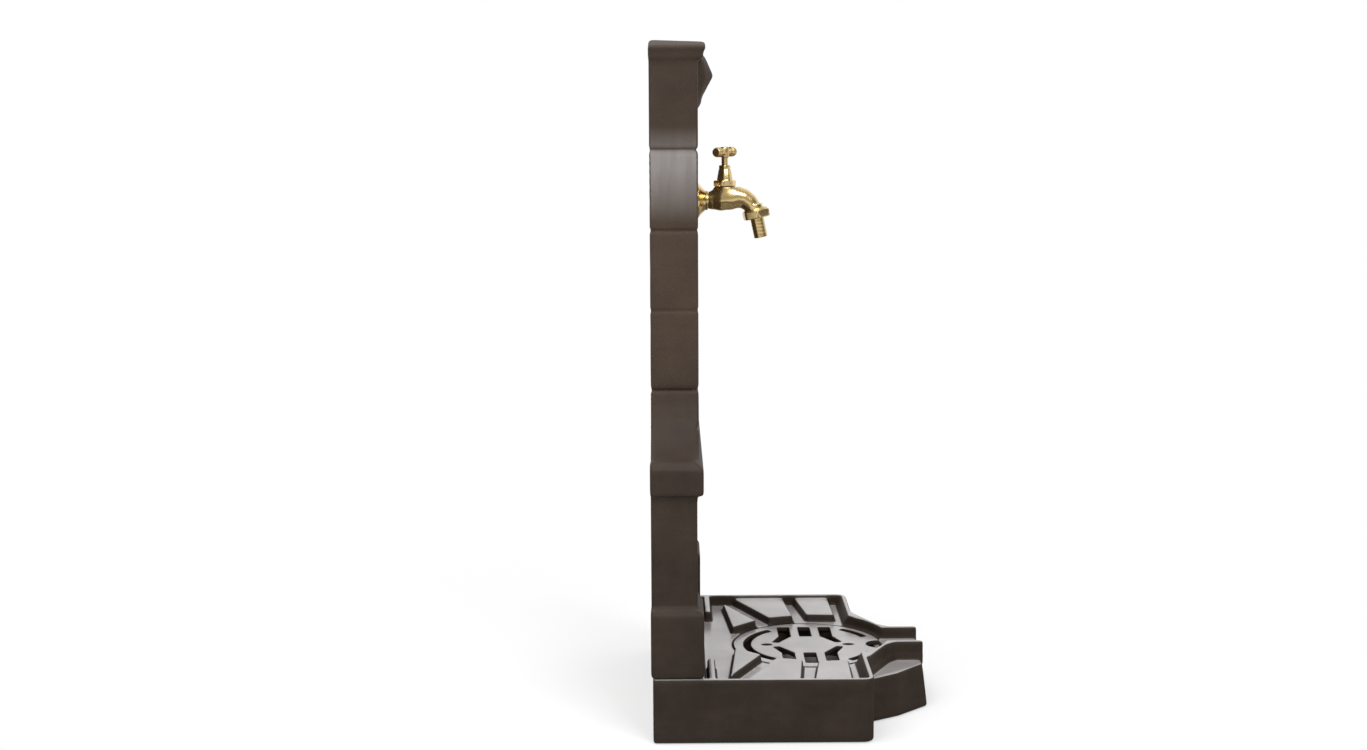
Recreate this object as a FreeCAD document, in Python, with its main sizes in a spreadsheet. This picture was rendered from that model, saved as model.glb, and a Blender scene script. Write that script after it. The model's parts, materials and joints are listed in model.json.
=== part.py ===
import FreeCAD, Part
import math
import os

import Sketcher
from FreeCAD import Placement, Rotation, Vector

# A garden fountain: a hollow cast column with a brass bib tap stands on a cast drip tray.
# X runs across the fountain, the front faces -Y and Z points up.
# The origin is on the floor, under the middle of the whole fountain.

SIZES = {
    # column casting, measured forward from its open back and up from the floor
    "column_depth": 57.0,
    "pedestal_depth": 54.0,
    "ledge_depth": 61.0,
    "plinth_depth": 61.0,
    "column_wall": 6.0,
    "plinth_half_width": 184.0,
    "plinth_height": 80.0,
    "plinth_chamfer": 6.0,
    "wing_width": 82.0,
    "pedestal_half_width": 172.0,
    "ledge_bottom": 287.0,
    "ledge_height": 39.0,
    "ledge_half_width": 179.0,
    "ledge_chamfer": 8.0,
    "flare_half_width": 160.0,
    "flare_height": 70.0,
    "flare_radius": 82.0,
    "waist_half_width": 93.0,
    "neck_half_width": 89.0,
    "neck_radius": 430.0,
    "head_half_width": 98.0,
    "course_height": 92.5,
    "course_gap": 3.0,
    "course_groove": 2.0,
    "notch_drop": 40.0,
    "notch_height": 5.0,
    "notch_groove": 3.0,
    "cap_height": 25.0,
    "cap_step": 3.0,
    "cap_band": 10.0,
    "crown_rise": 9.0,
    "crown_fall": 4.0,
    "keystone_foot": 46.0,
    "keystone_lip": 41.0,
    "keystone_chin": 34.0,
    "keystone_peak": 8.0,
    "keystone_top": 15.0,
    "keystone_foot_half": 13.0,
    "keystone_chin_half": 14.5,
    "keystone_peak_half": 18.0,
    "keystone_top_half": 21.0,
    "foot_side_reach": 0.5,
    "foot_reach": 1.0,
    "lip_side_reach": 2.8,
    "lip_reach": 5.2,
    "chin_side_reach": 3.2,
    "chin_reach": 6.0,
    "peak_side_reach": 9.5,
    "peak_reach": 20.5,
    "brow_side_reach": 5.0,
    "brow_reach": 10.0,
    "lug_width": 30.0,
    "lug_height": 10.0,
    "lug_near": 62.0,
    "lug_inset": 24.0,
    "lug_forward": 30.0,
    # drip tray casting
    "tray_back_inset": 2.0,
    "tray_front": 256.0,
    "tray_half_width": 186.0,
    "tray_height": 76.0,
    "tray_corner": 12.0,
    "tray_wall": 6.0,
    "rim_wall": 8.0,
    "rim_slope": 7.0,
    "rear_deck_front": 62.0,
    "basin_drop": 14.0,
    "deck_thickness": 6.5,
    "tray_reach": 334.0,
    "step_height": 52.0,
    "step_root_half": 118.0,
    "step_middle_half": 94.0,
    "step_middle_forward": 296.0,
    "step_tip_half": 62.0,
    "step_tip_cut": 5.0,
    "step_draft": 6.0,
    "bar_height": 75.0,
    "bar_half_outer": 35.0,
    "bar_width": 8.5,
    "bar_foot": 2.0,
    "bar_foot_height": 7.0,
    "shoulder_half": 98.0,
    "shoulder_forward": 258.0,
    "shoulder_bend_half": 46.0,
    "shoulder_bend_forward": 284.0,
    "bar_start_forward": 297.0,
    "bar_end_forward": 331.0,
    "channel_floor": 60.0,
    "basin_ring_radius": 97.0,
    "stone_height": 10.0,
    "lip_length": 86.0,
    "lip_width": 9.0,
    "lip_gap": 4.0,
    # drain grate and sump
    "grate_forward": 192.0,
    "grate_radius": 92.0,
    "grate_thickness": 6.5,
    "grate_play": 0.6,
    "seat_width": 8.0,
    "sump_depth": 31.5,
    "sump_floor": 6.0,
    "slot_near": 35.0,
    "slot_far": 76.0,
    "slot_width": 14.5,
    "slot_pitch": 26.0,
    "tail_near": 10.0,
    "tail_spread": 17.0,
    "tail_width": 7.0,
    "tail_slant": 2.0,
    "rear_slot_radius": 75.0,
    "rear_slot_width": 8.5,
    "rear_slot_angle": 54.0,
    "front_slot_radius": 80.0,
    "front_slot_width": 8.0,
    "front_slot_start": 24.0,
    "front_slot_end": 54.0,
    "eye_curve": 8.6,
    "eye_distance": 50.5,
    "eye_length": 14.0,
    "notch_radius": 15.0,
    "notch_depth": 19.0,
    "anchor_circle": 130.0,
    "anchor_hole_radius": 4.5,
    "anchor_boss_radius": 10.0,
    # waste fitting
    "waste_pipe_radius": 16.0,
    "waste_spigot_radius": 15.0,
    "waste_bore_radius": 13.0,
    "waste_flange_radius": 25.0,
    "waste_flange_height": 2.5,
    "waste_play": 0.6,
    "waste_gasket_height": 2.0,
    "waste_nut_height": 7.0,
    "waste_nut_flats": 46.0,
    "waste_end": 2.0,
    # bib tap, measured from where the water axis meets the valve axis
    "tap_height": 611.0,
    "valve_forward": 90.0,
    "tail_radius": 10.4,
    "tail_back": 25.0,
    "inlet_bore": 4.4,
    "inlet_drop": 3.3,
    "rosette_radius": 21.0,
    "rosette_rim": 1.2,
    "rosette_face_radius": 11.6,
    "rosette_height": 10.0,
    "shoulder_width": 2.5,
    "tap_neck_radius": 9.0,
    "bulb_radius": 13.0,
    "bulb_rise": 2.0,
    "tower_radius": 12.2,
    "tower_height": 16.0,
    "tower_seat_depth": 4.0,
    "tower_seat_radius": 9.5,
    "chamber_radius": 8.5,
    "seat_level": 2.0,
    "seat_bore": 4.8,
    "seat_way_depth": 8.0,
    "spout_radius": 10.0,
    "spout_bore": 5.5,
    "spout_bend": 18.0,
    "spout_tilt": 12.0,
    "spout_lead": 18.5,
    "spout_way_start": 6.0,
    "link_radius": 11.6,
    "link_end_radius": 10.6,
    "spout_rise": 4.0,
    "swell_radius": 12.0,
    "swell_rise": 2.0,
    "union_thread_radius": 13.1,
    "union_thread_length": 6.5,
    "bonnet_washer_height": 1.0,
    "bonnet_flats": 24.0,
    "bonnet_hex_height": 7.0,
    "bonnet_spigot_length": 3.0,
    "bonnet_foot_radius": 9.2,
    "bonnet_neck_radius": 7.2,
    "bonnet_cone_height": 13.0,
    "thread_radius": 5.7,
    "thread_length": 16.5,
    "stem_radius": 3.9,
    "running_gap": 0.06,
    "packing_radius": 5.6,
    "packing_height": 3.5,
    "packing_depth": 5.0,
    "gland_flats": 12.8,
    "gland_height": 5.0,
    "washer_radius": 7.0,
    "washer_height": 3.0,
    "washer_hole": 1.6,
    "jumper_disc_height": 2.0,
    "jumper_stem_radius": 2.4,
    "jumper_stem_length": 8.0,
    "jumper_stud_length": 2.5,
    "lift_gap": 0.1,
    "handle_height": 57.5,
    "handle_length": 44.0,
    "handle_bar_radius": 3.8,
    "handle_end_radius": 5.8,
    "handle_end_length": 9.0,
    "handle_end_groove": 0.8,
    "handle_rib_width": 1.5,
    "handle_rib_start": 0.9,
    "handle_rest_turn": 30.0,
    "hub_radius": 5.4,
    "hub_below": 6.5,
    "hub_above": 6.0,
    "tenon_radius": 3.1,
    "handle_screw_radius": 2.0,
    "handle_screw_head": 3.5,
    "handle_screw_sink": 1.5,
    "handle_screw_length": 8.0,
    "union_flats": 30.0,
    "union_lip": 1.5,
    "union_gap": 0.1,
    "union_turn": 52.0,
    "union_washer_height": 1.5,
    "tail_collar_radius": 12.6,
    "tail_collar_height": 1.5,
    "hose_tail_radius": 8.1,
    "hose_tail_bore": 5.5,
    "hose_tail_length": 25.0,
    # supply behind the column
    "thread_gap": 0.05,
    "back_washer_height": 1.5,
    "back_washer_radius": 15.0,
    "back_nut_height": 8.0,
    "back_nut_flats": 27.0,
    "pipe_radius": 7.5,
    "pipe_wall": 1.0,
    "pipe_back": 19.0,
    "elbow_radius": 12.5,
    "elbow_leg": 21.0,
    "elbow_socket": 13.0,
    "inlet_height": 116.0,
    "inlet_radius": 10.45,
    "inlet_thread": 14.0,
    "inlet_hex_flats": 24.0,
    "inlet_hex_height": 6.0,
    "clip_low": 220.0,
    "clip_high": 470.0,
    "clip_height": 12.0,
    "clip_wall": 3.0,
    "clip_foot_width": 34.0,
    "clip_foot_thickness": 3.0,
    "clip_stem_width": 8.0,
    "clip_screw_spread": 11.0,
    "clip_screw_radius": 2.0,
    "clip_screw_head": 3.6,
    "clip_screw_head_height": 2.0,
    "clip_screw_grip": 4.0,
    # bolts that hold the column to the tray
    "bolt_radius": 4.0,
    "bolt_hole_play": 0.5,
    "bolt_head_height": 5.5,
    "bolt_flats": 13.0,
    "bolt_washer_radius": 8.5,
    "bolt_washer_height": 1.6,
    "bolt_nut_height": 6.5,
    "bolt_spare": 2.0,
}

doc = FreeCAD.newDocument("garden_fountain")
sheet = doc.addObject("Spreadsheet::Sheet", "Sizes")
for row, (alias, number) in enumerate(SIZES.items(), start=1):
    sheet.set("A%d" % row, alias)
    sheet.set("B%d" % row, str(number))
    sheet.setAlias("B%d" % row, alias)
doc.recompute()


class Dim:
    """A size with its value and the expression that binds it to the sheet."""

    def __init__(self, text, value):
        self.text = text
        self.value = value

    def _join(self, other, sign, value, swapped=False):
        other_text = other.text if isinstance(other, Dim) else repr(float(other))
        first, second = (other_text, self.text) if swapped else (self.text, other_text)
        return Dim("(%s %s %s)" % (first, sign, second), value)

    def __add__(self, other):
        return self._join(other, "+", self.value + number_of(other))

    def __radd__(self, other):
        return self._join(other, "+", number_of(other) + self.value, swapped=True)

    def __sub__(self, other):
        return self._join(other, "-", self.value - number_of(other))

    def __rsub__(self, other):
        return self._join(other, "-", number_of(other) - self.value, swapped=True)

    def __mul__(self, other):
        return self._join(other, "*", self.value * number_of(other))

    def __rmul__(self, other):
        return self._join(other, "*", number_of(other) * self.value, swapped=True)

    def __truediv__(self, other):
        return self._join(other, "/", self.value / number_of(other))

    def __neg__(self):
        return Dim("(0 - %s)" % self.text, -self.value)


def number_of(item):
    return item.value if isinstance(item, Dim) else float(item)


def size(alias):
    return Dim("Sizes.%s" % alias, SIZES[alias])


def cosine(angle):
    return Dim("cos(%s)" % angle.text, math.cos(math.radians(angle.value)))


def sine(angle):
    return Dim("sin(%s)" % angle.text, math.sin(math.radians(angle.value)))


def bind(item, name, dim):
    """Give a property its value and tie it to the sheet."""
    text = dim.text if isinstance(dim, Dim) else repr(float(dim))
    item.setExpression(name, text)


# levels and distances that several pieces share
BACK = size("tray_reach") / 2
TRAY_TOP = size("tray_height")
BASIN_FLOOR = TRAY_TOP - size("basin_drop")
GRATE_BOTTOM = BASIN_FLOOR - size("grate_thickness")
SUMP_TOP = GRATE_BOTTOM - size("sump_depth")
SUMP_UNDER = SUMP_TOP - size("sump_floor")
DECK_UNDER = TRAY_TOP - size("deck_thickness")
RIM_INNER = size("tray_half_width") - size("rim_wall")
PLINTH_TOP = TRAY_TOP + size("plinth_height")
LEDGE_TOP = size("ledge_bottom") + size("ledge_height")
WAIST = LEDGE_TOP + size("flare_height")
NECK_HIGH = WAIST + size("course_height") * 2
HEAD_LOW = WAIST + size("course_height") * 3
HEAD_HIGH = WAIST + size("course_height") * 4
CAP_TOP = HEAD_HIGH + size("cap_height")
CAP_DEPTH = size("column_depth") + size("cap_step") * 3
INNER_FACE = size("column_depth") - size("column_wall")
PEDESTAL_INNER = size("pedestal_depth") - size("column_wall")
LUG_TOP = TRAY_TOP + size("lug_height")
LUG_FAR = size("pedestal_half_width") - size("lug_inset")
LUG_SPOTS = [spot * sign for spot in (size("lug_near"), LUG_FAR) for sign in (-1, 1)]
BOLT_HOLE = size("bolt_radius") + size("bolt_hole_play")
SEAT = size("seat_level")
JUMPER_DISC = SEAT + size("washer_height")
SPINDLE_FOOT = JUMPER_DISC + size("jumper_disc_height") + size("lift_gap")
BONNET_SEAT = size("tower_height") + size("bonnet_washer_height")
HEX_TOP = BONNET_SEAT + size("bonnet_hex_height")
GLAND_SEAT = HEX_TOP + size("bonnet_cone_height")
PACKING_FOOT = GLAND_SEAT - size("packing_depth")
STEM_HOLE = size("stem_radius") + size("running_gap")
SPOUT_CENTRE = size("spout_rise") - size("spout_bend")
SPOUT_END_FORWARD = size("spout_lead") + size("spout_bend") * cosine(size("spout_tilt"))
SPOUT_END_HEIGHT = SPOUT_CENTRE + size("spout_bend") * sine(size("spout_tilt"))
INLET_LEVEL = size("inlet_height")
HALF_TURN = 180.0

FRONTWARD = Vector(0, -1, 0)
BACKWARD = Vector(0, 1, 0)
DOWNWARD = Vector(0, 0, -1)
SIDEWARD = Vector(1, 0, 0)

parts = []


def keep(item, label):
    """Note an object as a sub-part whose label names its file."""
    item.Label = label
    parts.append(item)
    return item


def place(item, x=0.0, forward=0.0, z=0.0, axis=None, angle=None):
    """Put an object at x, at a distance forward of the column's back, and at a height."""
    if axis is not None:
        item.Placement = Placement(Vector(0, 0, 0), Rotation(axis, number_of(angle)))
        bind(item, "Placement.Rotation.Angle", angle)
    bind(item, "Placement.Base.x", x)
    bind(item, "Placement.Base.y", BACK - forward)
    bind(item, "Placement.Base.z", z)
    return item


def place_at_valve(item, forward=0.0, height=0.0):
    """Put an object on the upright axis of the tap's valve."""
    return place(item, 0.0, size("valve_forward") + forward, size("tap_height") + height)


def place_at_union(item, along):
    """Put an object on the tilted axis of the hose union, its Z pointing down and out."""
    tilt = size("spout_tilt")
    forward = size("valve_forward") + SPOUT_END_FORWARD + sine(tilt) * along
    height = size("tap_height") + SPOUT_END_HEIGHT - cosine(tilt) * along
    return place(item, 0.0, forward, height, axis=Vector(1, 0, 0), angle=HALF_TURN - tilt)


def new_body(name, label=None):
    body = doc.addObject("PartDesign::Body", name)
    if label:
        keep(body, label)
    return body


def plane(body, role):
    for item in body.Origin.OriginFeatures:
        if item.Role == role:
            return item
    raise ValueError("no plane " + role)


def new_sketch(body, role, name, offset=None):
    sketch = body.newObject("Sketcher::SketchObject", name)
    sketch.AttachmentSupport = [(plane(body, role), "")]
    sketch.MapMode = "FlatFace"
    if offset is not None:
        bind(sketch, "AttachmentOffset.Base.z", offset)
    return sketch


def arc_between(start, end, radius):
    """A short arc from start to end; a positive radius turns left."""
    half = (end - start) * 0.5
    lift = math.sqrt(max(radius * radius - half.Length ** 2, 0.0))
    side = Vector(-half.y, half.x, 0).normalize()
    centre = start + half + side * (lift if radius > 0 else -lift)
    circle = Part.Circle(centre, Vector(0, 0, 1), abs(radius))
    first, last = (start, end) if radius > 0 else (end, start)
    angle = [math.atan2(p.y - centre.y, p.x - centre.x) for p in (first, last)]
    return Part.ArcOfCircle(circle, angle[0], angle[1])


def hold(sketch, kind, geometry, point, dim):
    """Fix one coordinate of a sketch point, on the axis itself where the size is zero."""
    if abs(number_of(dim)) < 1e-9:
        axis = -2 if kind == "DistanceX" else -1
        sketch.addConstraint(Sketcher.Constraint("PointOnObject", geometry, point, axis))
        return
    index = sketch.addConstraint(
        Sketcher.Constraint(kind, -1, 1, geometry, point, number_of(dim)))
    if isinstance(dim, Dim):
        sketch.setExpression("Constraints[%d]" % index, dim.text)


def hold_radius(sketch, geometry, radius):
    index = sketch.addConstraint(
        Sketcher.Constraint("Radius", geometry, abs(number_of(radius))))
    if isinstance(radius, Dim):
        text = radius.text if radius.value > 0 else (-radius).text
        sketch.setExpression("Constraints[%d]" % index, text)


def draw_loop(sketch, points, closed=True):
    """An outline of points (x, y) or (x, y, radius of the arc to the next point)."""
    spots = [Vector(number_of(p[0]), number_of(p[1]), 0) for p in points]
    count = len(points) if closed else len(points) - 1
    ends = []
    for index in range(count):
        start = spots[index]
        end = spots[(index + 1) % len(points)]
        if len(points[index]) == 2:
            geometry = sketch.addGeometry(Part.LineSegment(start, end), False)
            ends.append((geometry, 1, 2))
        else:
            radius = number_of(points[index][2])
            geometry = sketch.addGeometry(arc_between(start, end, radius), False)
            ends.append((geometry, 1, 2) if radius > 0 else (geometry, 2, 1))
    for index in range(count):
        geometry, first, last = ends[index]
        if closed or index + 1 < count:
            following = ends[(index + 1) % count]
            sketch.addConstraint(
                Sketcher.Constraint("Coincident", geometry, last, following[0], following[1]))
        hold(sketch, "DistanceX", geometry, first, points[index][0])
        hold(sketch, "DistanceY", geometry, first, points[index][1])
        if len(points[index]) > 2:
            hold_radius(sketch, geometry, points[index][2])
    if not closed:
        geometry, first, last = ends[-1]
        hold(sketch, "DistanceX", geometry, last, points[-1][0])
        hold(sketch, "DistanceY", geometry, last, points[-1][1])


def draw_circle(sketch, x, y, radius):
    centre = Vector(number_of(x), number_of(y), 0)
    geometry = sketch.addGeometry(
        Part.Circle(centre, Vector(0, 0, 1), number_of(radius)), False)
    hold_radius(sketch, geometry, radius)
    hold(sketch, "DistanceX", geometry, 3, x)
    hold(sketch, "DistanceY", geometry, 3, y)


def rectangle(left, right, low, high):
    return [(left, low), (right, low), (right, high), (left, high)]


def both_sides(half):
    """A closed outline from its right half, listed upwards, mirrored across X = 0."""
    mirrored = []
    for index in range(len(half) - 1, -1, -1):
        x, y = half[index][0], half[index][1]
        if index > 0 and len(half[index - 1]) > 2:
            mirrored.append((-x, y, half[index - 1][2]))
        else:
            mirrored.append((-x, y))
    return half + mirrored


def pad(body, sketch, length):
    feature = body.newObject("PartDesign::Pad", sketch.Name + "_pad")
    feature.Profile = sketch
    bind(feature, "Length", length)
    sketch.Visibility = False
    doc.recompute()
    return feature


def pocket(body, sketch, length, reverse=False):
    """Cut behind the sketch's face, or in front of it when reversed."""
    before = body.Shape.Volume
    feature = body.newObject("PartDesign::Pocket", sketch.Name + "_cut")
    feature.Profile = sketch
    bind(feature, "Length", length)
    feature.Reversed = reverse
    sketch.Visibility = False
    doc.recompute()
    if body.Shape.Volume >= before:
        raise ValueError(feature.Name + " cuts nothing")
    return feature


def loft(body, kind, sketches):
    feature = body.newObject("PartDesign::" + kind, sketches[0].Name + "_loft")
    feature.Profile = sketches[0]
    feature.Sections = sketches[1:]
    feature.Ruled = True
    for sketch in sketches:
        sketch.Visibility = False
    doc.recompute()
    return feature


def turned(name, profile, label=None):
    """A turned piece: a closed outline of (radius, height) spun round the local Z axis."""
    body = new_body(name, label)
    sketch = new_sketch(body, "XZ_Plane", name + "_profile")
    draw_loop(sketch, profile)
    feature = body.newObject("PartDesign::Revolution", name + "_turn")
    feature.Profile = sketch
    feature.ReferenceAxis = (sketch, ["V_Axis"])
    feature.Angle = 360.0
    sketch.Visibility = False
    doc.recompute()
    return body


def ring(low, high, inner, outer):
    return [(inner, low), (outer, low), (outer, high), (inner, high)]


def set_base(item, base, direction=None):
    """Give a primitive its place and direction in its piece's own coordinates."""
    if direction is not None:
        item.Placement = Placement(Vector(0, 0, 0), Rotation(Vector(0, 0, 1), direction))
    for axis, value in zip("xyz", base):
        bind(item, "Placement.Base." + axis, value)
    return item


ORIGIN = (0.0, 0.0, 0.0)


def cylinder(name, radius, height, base=ORIGIN, direction=None):
    item = doc.addObject("Part::Cylinder", name)
    bind(item, "Radius", radius)
    bind(item, "Height", height)
    return set_base(item, base, direction)


def ball(name, radius, base=ORIGIN, direction=None):
    item = doc.addObject("Part::Sphere", name)
    bind(item, "Radius", radius)
    return set_base(item, base, direction)


def cone(name, radius, end_radius, height, base=ORIGIN, direction=None):
    item = doc.addObject("Part::Cone", name)
    bind(item, "Radius1", radius)
    bind(item, "Radius2", end_radius)
    bind(item, "Height", height)
    return set_base(item, base, direction)


def hexagon(name, flats, height, base=ORIGIN, direction=None):
    item = doc.addObject("Part::Prism", name)
    item.Polygon = 6
    bind(item, "Circumradius", flats * (1 / math.sqrt(3)))
    bind(item, "Height", height)
    return set_base(item, base, direction)


def block(name, lengths, base):
    item = doc.addObject("Part::Box", name)
    for key, value in zip(("Length", "Width", "Height"), lengths):
        bind(item, key, value)
    return set_base(item, base)


def fuse(name, items):
    item = doc.addObject("Part::MultiFuse", name)
    item.Shapes = items
    item.Refine = True
    return item


def cut(name, base, tool):
    item = doc.addObject("Part::Cut", name)
    item.Base = base
    item.Tool = tool
    item.Refine = True
    return item


def group(label, items):
    """Identical pieces in one node, each a solid of its own."""
    item = doc.addObject("Part::Compound", label)
    item.Links = items
    return keep(item, label)


def hexagon_nut(name, flats, height, hole):
    return cut(name, hexagon(name + "_hexagon", flats, height),
               cylinder(name + "_hole", hole, height))


def pillar_outline(inset, low):
    """The pillar seen from the front, from a level up: flare, neck, head and flat top."""
    flare = size("flare_half_width")
    waist = size("waist_half_width") - inset
    neck = size("neck_half_width") - inset
    head = size("head_half_width") - inset
    return both_sides([
        (flare, low), (flare, LEDGE_TOP - inset, -(size("flare_radius") + inset)),
        (waist, WAIST),
        (neck, NECK_HIGH, -(size("neck_radius") + inset)), (head, HEAD_LOW),
        (head, CAP_TOP - inset)])


def add_column_walls(body):
    sketch = new_sketch(body, "XZ_Plane", "pillar")
    draw_loop(sketch, pillar_outline(0.0, size("ledge_bottom")))
    pad(body, sketch, size("column_depth"))

    sketch = new_sketch(body, "XZ_Plane", "pedestal")
    side = size("pedestal_half_width")
    draw_loop(sketch, rectangle(-side, side, TRAY_TOP, LEDGE_TOP - size("ledge_chamfer")))
    pad(body, sketch, size("pedestal_depth"))

    sketch = new_sketch(body, "XZ_Plane", "ledge")
    side = size("ledge_half_width")
    slope = size("ledge_chamfer")
    draw_loop(sketch, both_sides([
        (side, size("ledge_bottom")), (side, LEDGE_TOP - slope), (side - slope, LEDGE_TOP)]))
    pad(body, sketch, size("ledge_depth"))

    for sign, name in ((1, "right_wing"), (-1, "left_wing")):
        sketch = new_sketch(body, "XZ_Plane", name)
        outer = size("plinth_half_width")
        inner = outer - size("wing_width")
        chamfer = size("plinth_chamfer")
        draw_loop(sketch, [
            (inner * sign, TRAY_TOP), (outer * sign, TRAY_TOP),
            (outer * sign, PLINTH_TOP - chamfer), ((outer - chamfer) * sign, PLINTH_TOP),
            (inner * sign, PLINTH_TOP)])
        pad(body, sketch, size("plinth_depth"))


def bevel_fronts(body):
    """Slope the front top edges of the two wings and of the ledge."""
    sketch = new_sketch(body, "YZ_Plane", "front_slopes")
    for depth, top, slope in (
            (size("plinth_depth"), PLINTH_TOP, size("plinth_chamfer")),
            (size("ledge_depth"), LEDGE_TOP, size("ledge_chamfer"))):
        draw_loop(sketch, [(-depth, top - slope), (slope - depth, top), (-depth, top)])
    feature = pocket(body, sketch, size("plinth_half_width") * 2)
    feature.Midplane = True


def add_cap(body):
    """Two stepped bands and a low arched crown that falls a little to the front."""
    top_side = size("head_half_width") + size("cap_step") * 2
    for count in (1, 2):
        sketch = new_sketch(body, "XZ_Plane", "cap_band_%d" % count)
        side = size("head_half_width") + size("cap_step") * count
        low = HEAD_HIGH + size("cap_band") * count
        draw_loop(sketch, rectangle(-side, side, low, CAP_TOP))
        pad(body, sketch, size("column_depth") + size("cap_step") * (count + 1))
    sketch = new_sketch(body, "XZ_Plane", "crown")
    rise = size("crown_rise")
    radius = (top_side * top_side + rise * rise) / (rise * 2)
    draw_loop(sketch, [(-top_side, CAP_TOP), (top_side, CAP_TOP, radius)])
    pad(body, sketch, CAP_DEPTH)
    sketch = new_sketch(body, "YZ_Plane", "crown_slope")
    top = CAP_TOP + rise
    draw_loop(sketch, [(0.0, top), (-CAP_DEPTH, top - size("crown_fall")), (-CAP_DEPTH, top)])
    feature = pocket(body, sketch, top_side * 2)
    feature.Midplane = True


def add_keystone(body):
    """The keystone: five level sections, each a block with a pointed front."""
    face = size("column_depth")
    buried = face - size("column_wall") / 2
    sections = (
        (-size("keystone_foot"), "keystone_foot_half", "foot_side_reach", "foot_reach"),
        (-size("keystone_lip"), "keystone_foot_half", "lip_side_reach", "lip_reach"),
        (-size("keystone_chin"), "keystone_chin_half", "chin_side_reach", "chin_reach"),
        (-size("keystone_peak"), "keystone_peak_half", "peak_side_reach", "peak_reach"),
        (size("keystone_top"), "keystone_top_half", "brow_side_reach", "brow_reach"))
    sketches = []
    for count, (offset, half_name, side_name, ridge_name) in enumerate(sections):
        half = size(half_name)
        side = face + size(side_name)
        ridge = face + size(ridge_name)
        sketch = new_sketch(body, "XY_Plane", "keystone_%d" % count, HEAD_HIGH + offset)
        draw_loop(sketch, [(-half, -buried), (-half, -side), (0.0, -ridge),
                           (half, -side), (half, -buried)])
        sketches.append(sketch)
    loft(body, "AdditiveLoft", sketches)


def hollow_column(body):
    wall = size("column_wall")
    sketch = new_sketch(body, "XZ_Plane", "pillar_hollow")
    draw_loop(sketch, pillar_outline(wall, size("ledge_bottom") + wall))
    pocket(body, sketch, INNER_FACE, reverse=True)
    sketch = new_sketch(body, "XZ_Plane", "pedestal_hollow")
    side = size("pedestal_half_width") - wall
    draw_loop(sketch, rectangle(-side, side, TRAY_TOP, LEDGE_TOP - size("ledge_chamfer") - wall))
    pocket(body, sketch, PEDESTAL_INNER, reverse=True)


def cut_joints(body):
    """The joints between the courses, round both sides and the front."""
    sides = (size("waist_half_width"),
             (size("waist_half_width") + size("neck_half_width")) / 2,
             size("neck_half_width"), size("head_half_width"))
    reach = size("head_half_width") + size("cap_step") * 4
    gap = size("course_gap") / 2
    levels = [WAIST + size("course_height") * count for count in range(4)]
    sketch = new_sketch(body, "XZ_Plane", "side_joints")
    for side, level in zip(sides, levels):
        depth = side - size("course_groove")
        draw_loop(sketch, rectangle(depth, reach, level - gap, level + gap))
        draw_loop(sketch, rectangle(-reach, -depth, level - gap, level + gap))
    pocket(body, sketch, size("column_depth"), reverse=True)
    sketch = new_sketch(body, "XZ_Plane", "front_joints", size("column_depth"))
    for level in levels:
        draw_loop(sketch, rectangle(-reach, reach, level - gap, level + gap))
    pocket(body, sketch, size("course_groove"))
    sketch = new_sketch(body, "XZ_Plane", "front_notch", size("column_depth"))
    high = WAIST - size("notch_drop")
    reach = size("flare_half_width")
    draw_loop(sketch, rectangle(-reach, reach, high - size("notch_height"), high))
    pocket(body, sketch, size("notch_groove"))


def add_lugs(body):
    """Four lugs inside the foot, bored for the bolts that go through the tray."""
    half = size("lug_width") / 2
    far = PEDESTAL_INNER + size("column_wall") / 2
    near = size("lug_forward") - half
    sketch = new_sketch(body, "XY_Plane", "lugs", TRAY_TOP)
    for spot in LUG_SPOTS:
        draw_loop(sketch, rectangle(spot - half, spot + half, -far, -near))
    pad(body, sketch, size("lug_height"))
    sketch = new_sketch(body, "XY_Plane", "lug_holes", LUG_TOP)
    for spot in LUG_SPOTS:
        draw_circle(sketch, spot, -size("lug_forward"), BOLT_HOLE)
    pocket(body, sketch, size("lug_height"))


def drill_column(body):
    sketch = new_sketch(body, "XZ_Plane", "tap_hole", size("column_depth"))
    draw_circle(sketch, 0.0, size("tap_height"), size("tail_radius") + size("bolt_hole_play"))
    pocket(body, sketch, size("column_wall"))
    for name, level, face in (("low_screw_holes", size("clip_low"), PEDESTAL_INNER),
                              ("high_screw_holes", size("clip_high"), INNER_FACE)):
        sketch = new_sketch(body, "XZ_Plane", name, face)
        for sign in (-1, 1):
            draw_circle(sketch, size("clip_screw_spread") * sign, level,
                        size("clip_screw_radius") + size("thread_gap"))
        pocket(body, sketch, size("clip_screw_grip") + size("bolt_hole_play"), reverse=True)


def make_column():
    body = new_body("column_casting", "column_casting")
    add_column_walls(body)
    bevel_fronts(body)
    add_cap(body)
    add_keystone(body)
    hollow_column(body)
    cut_joints(body)
    add_lugs(body)
    drill_column(body)
    place(body)


def step_outline(draft, back):
    """The low front projection, narrowing in straight facets to a flat nose."""
    tip = size("step_tip_half") - draft
    cut_back = size("step_tip_cut")
    reach = size("tray_reach") - draft
    return both_sides([
        (tip - cut_back, -reach), (tip, -(reach - cut_back)),
        (size("step_middle_half") - draft, -size("step_middle_forward") + draft / 2),
        (size("step_root_half") - draft, -size("shoulder_forward")),
        (size("step_root_half") - draft, -back)])


def shoulder_outline(grow, back):
    """The high rim that closes round the grate and runs on as the outer walls of the bars."""
    outer = size("bar_half_outer") + grow
    return both_sides([
        (outer, -size("bar_end_forward")), (outer, -size("bar_start_forward")),
        (size("shoulder_bend_half") + grow, -(size("shoulder_bend_forward") + grow)),
        (size("shoulder_half") + grow, -(size("shoulder_forward") + grow)),
        (size("shoulder_half") + grow, -back)])


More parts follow.
